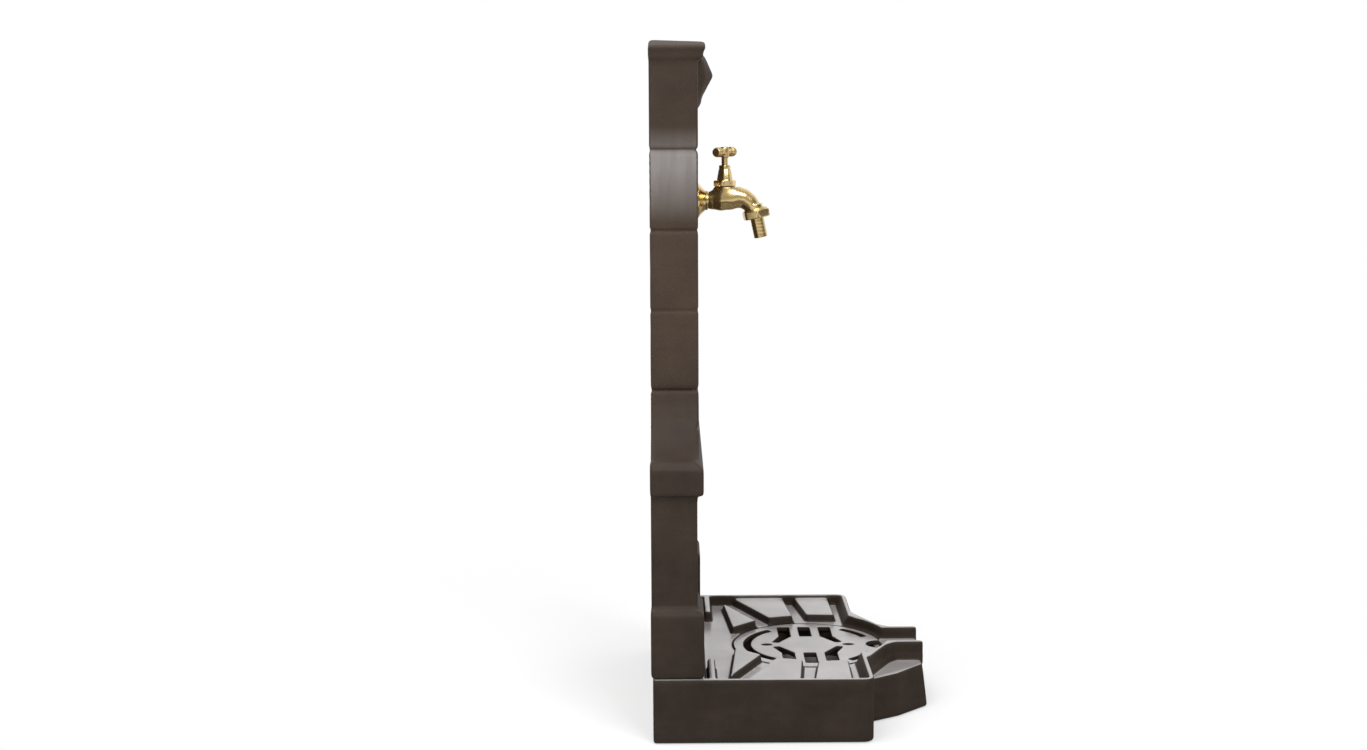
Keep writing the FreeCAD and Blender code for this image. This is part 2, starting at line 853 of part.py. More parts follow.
def add_tray_blocks(body):
    sketch = new_sketch(body, "XY_Plane", "tray_block")
    side = size("tray_half_width")
    front = size("tray_front")
    corner = size("tray_corner")
    draw_loop(sketch, both_sides([
        (side - corner, -front, corner), (side, corner - front),
        (side, -size("tray_back_inset"))]))
    pad(body, sketch, TRAY_TOP)

    back = size("grate_forward")
    low = new_sketch(body, "XY_Plane", "step_foot")
    draw_loop(low, step_outline(0.0, back))
    high = new_sketch(body, "XY_Plane", "step_top", size("step_height"))
    draw_loop(high, step_outline(size("step_draft"), back))
    loft(body, "AdditiveLoft", [low, high])

    foot = size("step_height") - size("tray_wall")
    for name, grow, top in (
            ("shoulder_foot", size("bar_foot"), size("step_height") + size("bar_foot_height")),
            ("shoulder", 0.0, size("bar_height"))):
        sketch = new_sketch(body, "XY_Plane", name, foot)
        draw_loop(sketch, shoulder_outline(grow, back))
        pad(body, sketch, top - foot)


def hollow_tray(body):
    """The open underside, under the basin, the rear deck and the projection."""
    wall = size("tray_wall")
    side = size("tray_half_width") - wall
    back = size("tray_back_inset") + wall
    deck_front = size("rear_deck_front") - wall
    front = size("tray_front") - wall
    sketch = new_sketch(body, "XY_Plane", "basin_underside")
    draw_loop(sketch, rectangle(-side, side, -front, -back))
    pocket(body, sketch, BASIN_FLOOR - size("deck_thickness"), reverse=True)
    sketch = new_sketch(body, "XY_Plane", "rear_underside")
    draw_loop(sketch, rectangle(-side, side, -deck_front, -back))
    pocket(body, sketch, DECK_UNDER, reverse=True)
    low = new_sketch(body, "XY_Plane", "step_underside")
    draw_loop(low, step_outline(wall, size("grate_forward")))
    high = new_sketch(body, "XY_Plane", "step_underside_top", size("step_height") - wall)
    draw_loop(high, step_outline(wall + size("step_draft"), size("grate_forward")))
    loft(body, "SubtractiveLoft", [low, high])


def cut_basin(body):
    """The basin inside the rim, its sloped front, the ring round the grate and the channel."""
    low = new_sketch(body, "XY_Plane", "basin_floor", BASIN_FLOOR)
    deck = size("rear_deck_front")
    front = size("tray_front") - size("tray_wall")
    draw_loop(low, rectangle(-RIM_INNER, RIM_INNER, size("rim_slope") - front, -deck))
    high = new_sketch(body, "XY_Plane", "basin_mouth", TRAY_TOP)
    draw_loop(high, rectangle(-RIM_INNER, RIM_INNER, -front, -deck))
    loft(body, "SubtractiveLoft", [low, high])
    centre = -size("grate_forward")
    sketch = new_sketch(body, "XY_Plane", "grate_ring", TRAY_TOP)
    draw_circle(sketch, 0.0, centre, size("basin_ring_radius"))
    pocket(body, sketch, size("basin_drop"))
    sketch = new_sketch(body, "XY_Plane", "channel", TRAY_TOP)
    half = size("bar_half_outer") - size("bar_width")
    near = size("grate_forward") + size("grate_radius") - size("notch_depth")
    draw_loop(sketch, rectangle(-half, half, -size("tray_reach"), -near))
    pocket(body, sketch, TRAY_TOP - size("channel_floor"))


def add_sump(body):
    """The bowl under the grate, with its seat, its outlet and the bosses on the ground."""
    centre = -size("grate_forward")
    seat = size("grate_radius") + size("grate_play")
    bowl = size("grate_radius") - size("seat_width")
    wall = size("tray_wall")
    sketch = new_sketch(body, "XY_Plane", "sump_wall", SUMP_UNDER)
    draw_circle(sketch, 0.0, centre, bowl + wall)
    pad(body, sketch, GRATE_BOTTOM - SUMP_UNDER)
    sketch = new_sketch(body, "XY_Plane", "seat_ring", GRATE_BOTTOM - wall)
    draw_circle(sketch, 0.0, centre, seat + wall)
    pad(body, sketch, wall)
    sketch = new_sketch(body, "XY_Plane", "anchor_bosses")
    offset = size("anchor_circle") / 2 * math.sqrt(0.5)
    corners = [(offset * i, centre + offset * j) for i in (-1, 1) for j in (-1, 1)]
    for x, y in corners:
        draw_circle(sketch, x, y, size("anchor_boss_radius"))
    pad(body, sketch, SUMP_UNDER)
    sketch = new_sketch(body, "XY_Plane", "grate_recess", BASIN_FLOOR)
    draw_circle(sketch, 0.0, centre, seat)
    pocket(body, sketch, size("grate_thickness"))
    sketch = new_sketch(body, "XY_Plane", "sump_bowl", GRATE_BOTTOM)
    draw_circle(sketch, 0.0, centre, bowl)
    pocket(body, sketch, size("sump_depth"))
    sketch = new_sketch(body, "XY_Plane", "waste_hole", SUMP_TOP)
    draw_circle(sketch, 0.0, centre, size("waste_pipe_radius") + size("waste_play"))
    pocket(body, sketch, size("sump_floor"))
    sketch = new_sketch(body, "XY_Plane", "anchor_holes", SUMP_TOP)
    for x, y in corners:
        draw_circle(sketch, x, y, size("anchor_hole_radius"))
    pocket(body, sketch, SUMP_TOP)


# corners of the raised stones: across from the middle, or None for a corner inside the rim,
# and forward of the grate's centre
STONES = (
    ((163.0, -102.0), (42.0, -92.0), (73.0, -60.0)),
    ((None, -88.0), (None, -20.0), (93.5, -12.0), (85.0, -44.0)),
    ((None, -6.0), (None, 40.0), (96.0, 42.0), (99.0, 5.0)),
)


def add_stones(body):
    """Three flat stones each side of the grate, and a lip in front of each wing."""
    inside_rim = RIM_INNER + size("rim_wall") / 2
    sketch = new_sketch(body, "XY_Plane", "stones", BASIN_FLOOR)
    for corners in STONES:
        for sign in (-1, 1):
            outline = []
            for across, offset in corners:
                reach = inside_rim if across is None else across
                outline.append((reach * sign, -(size("grate_forward") + offset)))
            draw_loop(sketch, outline)
    pad(body, sketch, size("stone_height"))
    sketch = new_sketch(body, "XY_Plane", "lips", BASIN_FLOOR)
    near = size("rear_deck_front") + size("lip_gap")
    far = near + size("lip_width")
    inner = size("tray_half_width") - size("lip_length")
    for sign in (-1, 1):
        draw_loop(sketch, rectangle(inner * sign, inside_rim * sign, -far, -near))
    pad(body, sketch, size("basin_drop"))


def drill_deck(body):
    sketch = new_sketch(body, "XY_Plane", "bolt_holes", TRAY_TOP)
    for spot in LUG_SPOTS:
        draw_circle(sketch, spot, -size("lug_forward"), BOLT_HOLE)
    pocket(body, sketch, size("deck_thickness"))


def make_tray():
    body = new_body("tray_casting", "tray_casting")
    add_tray_blocks(body)
    hollow_tray(body)
    cut_basin(body)
    add_sump(body)
    add_stones(body)
    drill_deck(body)
    place(body)


def polar(radius, degrees):
    """A point at a radius and an angle from the front of the grate."""
    turn = math.radians(degrees)
    return radius * math.sin(turn), radius * -math.cos(turn)


def arc_slot(sketch, radius, width, start, end):
    """A slot along a circle about the grate's centre, between two angles from the front."""
    outer = radius + width / 2
    inner = radius - width / 2
    first, second = polar(outer, start), polar(outer, end)
    third, fourth = polar(inner, end), polar(inner, start)
    draw_loop(sketch, [first + (outer,), second, third + (-inner,), fourth])


def make_grate():
    """The round grate: cross slots, two long arcs, two front arcs, two eyes and a notch."""
    body = new_body("drain_grate", "drain_grate")
    disc = new_sketch(body, "XY_Plane", "disc")
    draw_circle(disc, 0.0, 0.0, size("grate_radius"))
    pad(body, disc, size("grate_thickness"))
    top = size("grate_thickness")
    half = size("slot_width") / 2
    near = size("slot_near")
    far = size("slot_far")
    slots = new_sketch(body, "XY_Plane", "cross_slots", top)
    for sign in (-1, 1):
        draw_loop(slots, rectangle(near * sign, far * sign, -half, half))
        for side in (-1, 1):
            middle = size("slot_pitch") * side
            spread = middle + size("tail_spread") * side
            low = middle - half * side
            high = middle + half * side
            draw_loop(slots, [
                (near * sign, low), (far * sign, low), (far * sign, high),
                (near * sign, high), (size("tail_near") * sign, spread),
                ((size("tail_near") - size("tail_slant")) * sign,
                 spread - size("tail_width") * side)])
    pocket(body, slots, top)
    arcs = new_sketch(body, "XY_Plane", "arc_slots", top)
    rear = size("rear_slot_angle").value
    arc_slot(arcs, size("rear_slot_radius"), size("rear_slot_width"),
             HALF_TURN - rear, HALF_TURN + rear)
    first = size("front_slot_start").value
    last = size("front_slot_end").value
    arc_slot(arcs, size("front_slot_radius"), size("front_slot_width"), first, last)
    arc_slot(arcs, size("front_slot_radius"), size("front_slot_width"), -last, -first)
    for sign in (-1, 1):
        middle = size("eye_distance") * sign
        reach = size("eye_length") / 2
        eye = size("eye_curve")
        draw_loop(arcs, [(0.0, middle - reach, eye), (0.0, middle + reach, eye)])
    pocket(body, arcs, top)
    notch = new_sketch(body, "XY_Plane", "finger_notch", top)
    centre = size("grate_radius") - size("notch_depth") + size("notch_radius")
    draw_circle(notch, 0.0, -centre, size("notch_radius"))
    pocket(body, notch, top)
    place(body, 0.0, size("grate_forward"), GRATE_BOTTOM)


def make_waste():
    """The waste outlet through the floor of the sump."""
    flange_low = SUMP_TOP + size("waste_gasket_height")
    bore = size("waste_bore_radius")
    pipe = size("waste_pipe_radius")
    flange = size("waste_flange_radius")
    top = flange_low + size("waste_flange_height")
    spigot = size("waste_spigot_radius")
    nut_low = SUMP_UNDER - size("waste_nut_height")
    body = turned("waste_body", [
        (bore, size("waste_end")), (spigot, size("waste_end")), (spigot, nut_low),
        (pipe, nut_low), (pipe, flange_low), (flange, flange_low), (flange, top), (bore, top)],
        "waste_body")
    place(body, 0.0, size("grate_forward"))
    hole = pipe + size("waste_play")
    gasket = turned("waste_gasket", ring(SUMP_TOP, flange_low, hole, flange), "waste_gasket")
    place(gasket, 0.0, size("grate_forward"))
    nut = keep(hexagon_nut("waste_nut", size("waste_nut_flats"), size("waste_nut_height"),
                           pipe + size("thread_gap")), "waste_nut")
    place(nut, 0.0, size("grate_forward"), nut_low)


def spout_run(name, radius, start, tail):
    """A tube of the spout's path: forward, round and down, then a tail along the union's axis."""
    tilt = size("spout_tilt")
    body = new_body(name)
    path = new_sketch(body, "YZ_Plane", name + "_path")
    points = [
        (-start, size("spout_rise")), (-size("spout_lead"), size("spout_rise"), size("spout_bend")),
        (-SPOUT_END_FORWARD, SPOUT_END_HEIGHT)]
    if tail is not None:
        points.append((-(SPOUT_END_FORWARD + sine(tilt) * tail),
                       SPOUT_END_HEIGHT - cosine(tilt) * tail))
    draw_loop(path, points, closed=False)
    section = new_sketch(body, "XZ_Plane", name + "_section", start)
    draw_circle(section, 0.0, size("spout_rise"), radius)
    feature = body.newObject("PartDesign::AdditivePipe", name + "_pipe")
    feature.Profile = section
    feature.Spine = path
    doc.recompute()
    return body


def union_axis_piece(name, radius, start, end):
    """A cylinder on the union's tilted axis, in the tap body's own coordinates."""
    item = doc.addObject("Part::Cylinder", name)
    bind(item, "Radius", radius)
    bind(item, "Height", end - start)
    tilt = size("spout_tilt")
    item.Placement = Placement(Vector(0, 0, 0), Rotation(Vector(1, 0, 0), HALF_TURN - tilt.value))
    bind(item, "Placement.Rotation.Angle", HALF_TURN - tilt)
    bind(item, "Placement.Base.y", -(SPOUT_END_FORWARD + sine(tilt) * start))
    bind(item, "Placement.Base.z", SPOUT_END_HEIGHT - cosine(tilt) * start)
    return item


def make_tap_body():
    """The tap's casting: tail, neck, bulb, tower and spout, with its water way."""
    wall = size("valve_forward") - size("column_depth")
    rosette_front = wall - size("rosette_height")
    shoulder_end = rosette_front - size("shoulder_width")
    tail_length = size("tail_back") + size("rosette_height")
    outer = fuse("tap_outside", [
        cylinder("tap_tail", size("tail_radius"), tail_length,
                 (0.0, wall + size("tail_back"), 0.0), FRONTWARD),
        cylinder("tap_shoulder", size("rosette_face_radius"), size("shoulder_width"),
                 (0.0, rosette_front, 0.0), FRONTWARD),
        cone("tap_neck", size("tap_neck_radius"), size("bulb_radius") - size("shoulder_width"),
             shoulder_end, (0.0, shoulder_end, 0.0), FRONTWARD),
        ball("tap_bulb", size("bulb_radius"), (0.0, 0.0, size("bulb_rise"))),
        cylinder("tap_tower", size("tower_radius"), size("tower_height") - size("bulb_rise"),
                 (0.0, 0.0, size("bulb_rise"))),
        ball("spout_swell", size("swell_radius"), (0.0, -size("spout_lead"), size("swell_rise")),
             FRONTWARD),
        cone("swell_link", size("link_radius"), size("link_end_radius"), size("spout_lead"),
             (0.0, 0.0, size("swell_rise")), FRONTWARD),
        spout_run("spout_outside", size("spout_radius"), 0.0, None),
        union_axis_piece("union_thread", size("union_thread_radius"), 0.0,
                         size("union_thread_length")),
    ])
    inlet_length = wall + size("tail_back")
    thread = size("union_thread_length")
    inner = fuse("tap_water_way", [
        cylinder("inlet_way", size("inlet_bore"), inlet_length,
                 (0.0, inlet_length, -size("inlet_drop")), FRONTWARD),
        cylinder("seat_way", size("seat_bore"), SEAT + size("seat_way_depth"),
                 (0.0, 0.0, -size("seat_way_depth"))),
        cylinder("chamber", size("chamber_radius"), size("tower_height") - SEAT, (0.0, 0.0, SEAT)),
        cylinder("tower_seat", size("tower_seat_radius"), size("tower_seat_depth"),
                 (0.0, 0.0, size("tower_height") - size("tower_seat_depth"))),
        spout_run("spout_inside", size("spout_bore"), size("spout_way_start"), thread),
    ])
    body = keep(cut("tap_body", outer, inner), "tap_body")
    place_at_valve(body)
    doc.recompute()


def make_rosette():
    hole = size("tail_radius") + size("thread_gap") * 2
    body = turned("tap_rosette", [
        (hole, 0.0), (size("rosette_radius"), 0.0),
        (size("rosette_radius"), size("rosette_rim")),
        (size("rosette_face_radius"), size("rosette_height")),
        (hole, size("rosette_height"))], "tap_rosette")
    place(body, 0.0, size("column_depth"), size("tap_height"), Vector(1, 0, 0), 90.0)


def make_bonnet():
    """The head part: spigot, hexagon and cone, bored for the spindle and its packing."""
    spigot = size("tower_seat_radius") - size("thread_gap")
    foot = size("tower_height") - size("bonnet_spigot_length")
    thread_hole = size("thread_radius") + size("running_gap")
    thread_top = PACKING_FOOT - size("bonnet_washer_height")
    turned_part = turned("bonnet_turned", [
        (thread_hole, foot), (spigot, foot), (spigot, HEX_TOP),
        (size("bonnet_foot_radius"), HEX_TOP), (size("bonnet_neck_radius"), GLAND_SEAT),
        (size("packing_radius"), GLAND_SEAT), (size("packing_radius"), PACKING_FOOT),
        (STEM_HOLE, PACKING_FOOT), (STEM_HOLE, thread_top), (thread_hole, thread_top)])
    collar = cut("bonnet_collar",
                 hexagon("bonnet_hexagon", size("bonnet_flats"), size("bonnet_hex_height"),
                         (0.0, 0.0, BONNET_SEAT)),
                 cylinder("bonnet_collar_hole", (thread_hole + spigot) / 2,
                          size("bonnet_hex_height"), (0.0, 0.0, BONNET_SEAT)))
    bonnet = keep(fuse("tap_bonnet", [turned_part, collar]), "tap_bonnet")
    place_at_valve(bonnet)
    washer = turned("bonnet_washer", ring(
        size("tower_height"), BONNET_SEAT, size("tower_seat_radius") + size("thread_gap"),
        size("bonnet_flats") / 2), "bonnet_washer")
    place_at_valve(washer)


def make_gland():
    packing = turned("gland_packing", ring(
        PACKING_FOOT, PACKING_FOOT + size("packing_height"), STEM_HOLE,
        size("packing_radius") - size("thread_gap")), "gland_packing")
    place_at_valve(packing)
    nose_low = PACKING_FOOT + size("packing_height")
    nose = turned("gland_nose", ring(nose_low, GLAND_SEAT + size("gland_height") / 2, STEM_HOLE,
                                     size("packing_radius") - size("thread_gap")))
    head = cut("gland_head",
               hexagon("gland_hexagon", size("gland_flats"), size("gland_height"),
                       (0.0, 0.0, GLAND_SEAT)),
               cylinder("gland_hole", STEM_HOLE, size("gland_height"), (0.0, 0.0, GLAND_SEAT)))
    nut = keep(fuse("gland_nut", [nose, head]), "gland_nut")
    place_at_valve(nut)


def make_valve():
    """What lifts off the seat: the rubber washer and the jumper that carries it."""
    washer = turned("valve_washer", ring(
        SEAT, JUMPER_DISC, size("washer_hole"), size("washer_radius")), "valve_washer")
    place_at_valve(washer)
    disc_top = JUMPER_DISC + size("jumper_disc_height")
    stem_top = disc_top + size("jumper_stem_length")
    stud = size("washer_hole") - size("thread_gap")
    jumper = turned("valve_jumper", [
        (0.0, JUMPER_DISC - size("jumper_stud_length")),
        (stud, JUMPER_DISC - size("jumper_stud_length")), (stud, JUMPER_DISC),
        (size("washer_radius"), JUMPER_DISC), (size("washer_radius"), disc_top),
        (size("jumper_stem_radius"), disc_top), (size("jumper_stem_radius"), stem_top),
        (0.0, stem_top)], "valve_jumper")
    place_at_valve(jumper)


def make_spindle():
    """The spindle: a bored foot for the jumper, a thread, the stem and a tenon for the hub."""
    socket = size("jumper_stem_radius") + size("running_gap")
    socket_top = SPINDLE_FOOT + size("jumper_stem_length") + size("lift_gap")
    thread_top = SPINDLE_FOOT + size("thread_length")
    hub_foot = size("handle_height") - size("hub_below")
    hub_top = size("handle_height") + size("hub_above")
    screw_seat = hub_top - size("handle_screw_sink")
    tenon_top = screw_seat - size("handle_screw_sink")
    screw_foot = screw_seat - size("handle_screw_length")
    screw_hole = size("handle_screw_radius") + size("thread_gap")
    body = turned("tap_spindle", [
        (socket, SPINDLE_FOOT), (size("thread_radius"), SPINDLE_FOOT),
        (size("thread_radius"), thread_top), (size("stem_radius"), thread_top),
        (size("stem_radius"), hub_foot), (size("tenon_radius"), hub_foot),
        (size("tenon_radius"), tenon_top), (screw_hole, tenon_top),
        (screw_hole, screw_foot), (0.0, screw_foot), (0.0, socket_top), (socket, socket_top)],
        "tap_spindle")
    place_at_valve(body)
    head = size("handle_screw_head")
    screw = turned("handle_screw", [
        (0.0, screw_foot), (size("handle_screw_radius"), screw_foot),
        (size("handle_screw_radius"), screw_seat), (head, screw_seat), (head, hub_top),
        (0.0, hub_top)], "handle_screw")
    place_at_valve(screw)


def make_handle():
    """The T handle: a hub, a crossbar and two grooved ends."""
    below = size("hub_below")
    above = size("hub_above")
    half = size("handle_length") / 2
    end = size("handle_end_length")
    groove = size("handle_end_groove")
    third = end / 3
    outline = [(0.0, -half), (size("handle_end_radius") - groove, -half)]
    for start in (-half, half - end):
        for count in range(3):
            low = start + third * count
            rib = low + size("handle_rib_start")
            outline.append((size("handle_end_radius"), rib))
            outline.append((size("handle_end_radius"), rib + size("handle_rib_width")))
            if count < 2:
                outline.append((size("handle_end_radius") - groove, low + third))
        if number_of(start) < 0:
            outline.append((size("handle_bar_radius"), start + end))
            outline.append((size("handle_bar_radius"), half - end))
    outline += [(size("handle_end_radius") - groove, half), (0.0, half)]
    bar = turned("handle_bar", outline)
    bar.Placement = Placement(Vector(0, 0, 0), Rotation(Vector(0, 1, 0), 90))
    hub = cylinder("handle_hub", size("hub_radius"), below + above, (0.0, 0.0, -below))
    solid = fuse("handle_solid", [bar, hub])
    screw_seat = above - size("handle_screw_sink")
    holes = fuse("handle_holes", [
        cylinder("tenon_hole", size("tenon_radius") + size("thread_gap"),
                 below + screw_seat - size("handle_screw_sink") + size("lift_gap"),
                 (0.0, 0.0, -below)),
        cylinder("handle_screw_hole", size("handle_screw_radius") + size("thread_gap"),
                 below + above, (0.0, 0.0, -below)),
        cylinder("handle_screw_sink", size("handle_screw_head") + size("thread_gap"),
                 size("handle_screw_sink"), (0.0, 0.0, screw_seat))])
    handle = keep(cut("tap_handle", solid, holes), "tap_handle")
    place(handle, 0.0, size("valve_forward"), size("tap_height") + size("handle_height"),
          Vector(0, 0, 1), -size("handle_rest_turn"))


def make_union():
    """The hose union: its nut, flat washer and hose tail on the spout's tilted axis."""
    thread = size("union_thread_length")
    washer_end = thread + size("union_washer_height")
    collar_end = washer_end + size("tail_collar_height")
    nut_end = collar_end + size("union_lip")
    hole = size("union_thread_radius") + size("union_gap")
    nut_holes = fuse("union_holes", [
        cylinder("union_thread_hole", hole, collar_end),
        cylinder("union_tail_hole", size("hose_tail_radius") + size("union_gap"), nut_end)])
    nut_hex = hexagon("union_hexagon", size("union_flats"), nut_end)
    nut_hex.Placement = Placement(Vector(0, 0, 0), Rotation(Vector(0, 0, 1), HALF_TURN))
    bind(nut_hex, "Placement.Rotation.Angle", size("union_turn"))
    nut = keep(cut("union_nut", nut_hex, nut_holes), "union_nut")
    place_at_union(nut, 0.0)
    washer = turned("union_washer", ring(
        thread, washer_end, size("hose_tail_bore"), size("tail_collar_radius")), "union_washer")
    place_at_union(washer, 0.0)
    tail_end = collar_end + size("hose_tail_length")
    tail = turned("hose_tail", [
        (size("hose_tail_bore"), washer_end), (size("tail_collar_radius"), washer_end),
        (size("tail_collar_radius"), collar_end), (size("hose_tail_radius"), collar_end),
        (size("hose_tail_radius"), tail_end), (size("hose_tail_bore"), tail_end)], "hose_tail")
    place_at_union(tail, 0.0)


def make_back_nut():
    hole = size("tail_radius") + size("thread_gap")
    washer_back = INNER_FACE - size("back_washer_height")
    washer = turned("tap_back_washer", ring(
        0.0, size("back_washer_height"), hole, size("back_washer_radius")), "tap_back_washer")
    place(washer, 0.0, washer_back, size("tap_height"), Vector(1, 0, 0), 90.0)
    nut = keep(hexagon_nut("tap_back_nut", size("back_nut_flats"), size("back_nut_height"), hole),
               "tap_back_nut")
    place(nut, 0.0, washer_back - size("back_nut_height"), size("tap_height"),
          Vector(1, 0, 0), 90.0)


def elbow(label, side_bore, side):
    """A cast elbow: one leg up or down the riser and one leg to the side it serves."""
    leg = size("elbow_leg")
    radius = size("elbow_radius")
    socket = size("elbow_socket")
    pipe_hole = size("pipe_radius") + size("thread_gap")
    riser = DOWNWARD if side is FRONTWARD else Vector(0, 0, 1)
    start = leg - socket
    offsets = {"riser": [start * riser.x, start * riser.y, start * riser.z],
               "side": [start * side.x, start * side.y, start * side.z]}
    way = size("pipe_radius") - size("pipe_wall")
    outside = fuse(label + "_outside", [
        cylinder(label + "_riser_leg", radius, leg, ORIGIN, riser),
        cylinder(label + "_side_leg", radius, leg, ORIGIN, side),
        ball(label + "_corner", radius)])
    inside = fuse(label + "_inside", [
        cylinder(label + "_riser_way", way, leg, ORIGIN, riser),
        cylinder(label + "_side_way", way, leg, ORIGIN, side),
        cylinder(label + "_riser_socket", pipe_hole, socket, offsets["riser"], riser),
        cylinder(label + "_side_socket", side_bore, socket, offsets["side"], side)])
    return keep(cut(label, outside, inside), label)


def make_supply():
    """The supply inside the column: an elbow on the tap's tail, the riser and its inlet."""
    back = size("pipe_back")
    leg = size("elbow_leg")
    socket = size("elbow_socket")
    top = elbow("supply_elbow", size("tail_radius") + size("thread_gap"), FRONTWARD)
    place(top, 0.0, back, size("tap_height"))
    low = elbow("inlet_elbow", size("inlet_radius") + size("thread_gap"), SIDEWARD)
    place(low, 0.0, back, INLET_LEVEL)
    foot = INLET_LEVEL + leg - socket
    head = size("tap_height") - leg + socket
    pipe = turned("riser_pipe", ring(foot, head, size("pipe_radius") - size("pipe_wall"),
                                     size("pipe_radius")), "riser_pipe")
    place(pipe, 0.0, back)
    thread = size("inlet_thread")
    hexagon_end = leg + size("inlet_hex_height")
    bore = size("pipe_radius") - size("pipe_wall")
    solid = fuse("nipple_outside", [
        cylinder("nipple_threads", size("inlet_radius"), hexagon_end + thread - leg + socket,
                 (0.0, 0.0, leg - socket)),
        hexagon("nipple_hexagon", size("inlet_hex_flats"), size("inlet_hex_height"),
                (0.0, 0.0, leg))])
    nipple = keep(cut("inlet_nipple", solid, cylinder(
        "nipple_bore", bore, hexagon_end + thread - leg + socket, (0.0, 0.0, leg - socket))),
        "inlet_nipple")
    place(nipple, 0.0, back, INLET_LEVEL, Vector(0, 1, 0), 90.0)


def pipe_clip(name, level, face):
    """A clip: a ring round the riser, a stem and a foot screwed to the column."""
    back = size("pipe_back")
    hole = size("pipe_radius") + size("thread_gap")
    outer = hole + size("clip_wall")
    height = size("clip_height")
    foot = size("clip_foot_thickness")
    reach = face - back
    stem = size("clip_stem_width")
    width = size("clip_foot_width")
    solid = fuse(name + "_solid", [
        cylinder(name + "_ring", outer, height),
        block(name + "_stem", [stem, reach, height], (-stem / 2, -reach, 0.0)),
        block(name + "_foot", [width, foot, height], (-width / 2, -reach, 0.0))])
    holes = [cylinder(name + "_hole", hole, height)]
    for sign in (-1, 1):
        holes.append(cylinder(
            "%s_screw_hole_%d" % (name, sign + 1), size("clip_screw_radius") + size("thread_gap"),
            foot, (size("clip_screw_spread") * sign, -reach, height / 2), BACKWARD))
    clip = cut(name, solid, fuse(name + "_holes", holes))
    return place(clip, 0.0, back, level - height / 2)


def clip_screw(name, spot, level, face):
    """A screw from behind, through the clip's foot and into the column's wall."""
    head = size("clip_screw_head_height")
    foot = size("clip_foot_thickness")
    screw = turned(name, [
        (0.0, -head), (size("clip_screw_head"), -head), (size("clip_screw_head"), 0.0),
        (size("clip_screw_radius"), 0.0),
        (size("clip_screw_radius"), foot + size("clip_screw_grip")),
        (0.0, foot + size("clip_screw_grip"))])
    return place(screw, spot, face - foot, level, Vector(1, 0, 0), 90.0)


def make_clips():
    clips = []
    screws = []
    for name, level, face in (("low", size("clip_low"), PEDESTAL_INNER),
                              ("high", size("clip_high"), INNER_FACE)):
        clips.append(pipe_clip(name + "_clip", level, face))
        for sign in (-1, 1):
            screws.append(clip_screw("%s_screw_%d" % (name, sign + 1),
                                     size("clip_screw_spread") * sign, level, face))
    group("pipe_clips", clips)
    group("clip_screws", screws)


def make_base_bolts():
    """Four bolts down through the column's lugs and the tray's deck, with washers and nuts."""
    radius = size("bolt_radius")
    head_low = LUG_TOP + size("bolt_washer_height")
    nut_low = DECK_UNDER - size("bolt_nut_height")
    end = nut_low - size("bolt_spare")
    bolts = []
    washers = []
    nuts = []
    for count, spot in enumerate(LUG_SPOTS):
        tag = str(count + 1)
        bolt = fuse("base_bolt_" + tag, [
            hexagon("bolt_head_" + tag, size("bolt_flats"), size("bolt_head_height"),
                    (0.0, 0.0, head_low)),
            cylinder("bolt_shank_" + tag, radius, head_low - end, (0.0, 0.0, end))])
        bolts.append(place(bolt, spot, size("lug_forward")))
        washer = turned("base_washer_" + tag, ring(
            LUG_TOP, head_low, radius + size("bolt_hole_play"), size("bolt_washer_radius")))
        washers.append(place(washer, spot, size("lug_forward")))
        nut = hexagon_nut("base_nut_" + tag, size("bolt_flats"), size("bolt_nut_height"),
                          radius + size("thread_gap"))
        nuts.append(place(nut, spot, size("lug_forward"), nut_low))
    group("base_bolts", bolts)
    group("base_washers", washers)
    group("base_nuts", nuts)


def check_and_write():
    doc.recompute()
    for item in doc.Objects:
        if "Invalid" in item.State or "Error" in item.State:
            raise ValueError("%s failed: %s" % (item.Name, item.State))
    os.makedirs("parts", exist_ok=True)
    for item in parts:
        if item.Shape.isNull() or not item.Shape.isValid():
            raise ValueError(item.Label + " has no valid shape")
        item.Shape.exportStep("parts/%s.step" % item.Label)
        box = item.Shape.BoundBox
        print("%-16s %2d solid(s) %10.0f mm3  x %.1f..%.1f  y %.1f..%.1f  z %.1f..%.1f" % (
            item.Label, len(item.Shape.Solids), item.Shape.Volume,
            box.XMin, box.XMax, box.YMin, box.YMax, box.ZMin, box.ZMax))


make_column()
make_tray()
make_grate()
make_waste()
make_tap_body()
make_rosette()
make_bonnet()
make_gland()
make_valve()
make_spindle()
make_handle()
make_union()
make_back_nut()
make_supply()
make_clips()
make_base_bolts()
check_and_write()
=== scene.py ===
import json
import math

import bmesh
import bpy
import numpy
import openvdb
from bpy.props import FloatProperty, FloatVectorProperty, PointerProperty
from mathutils import Matrix, Vector


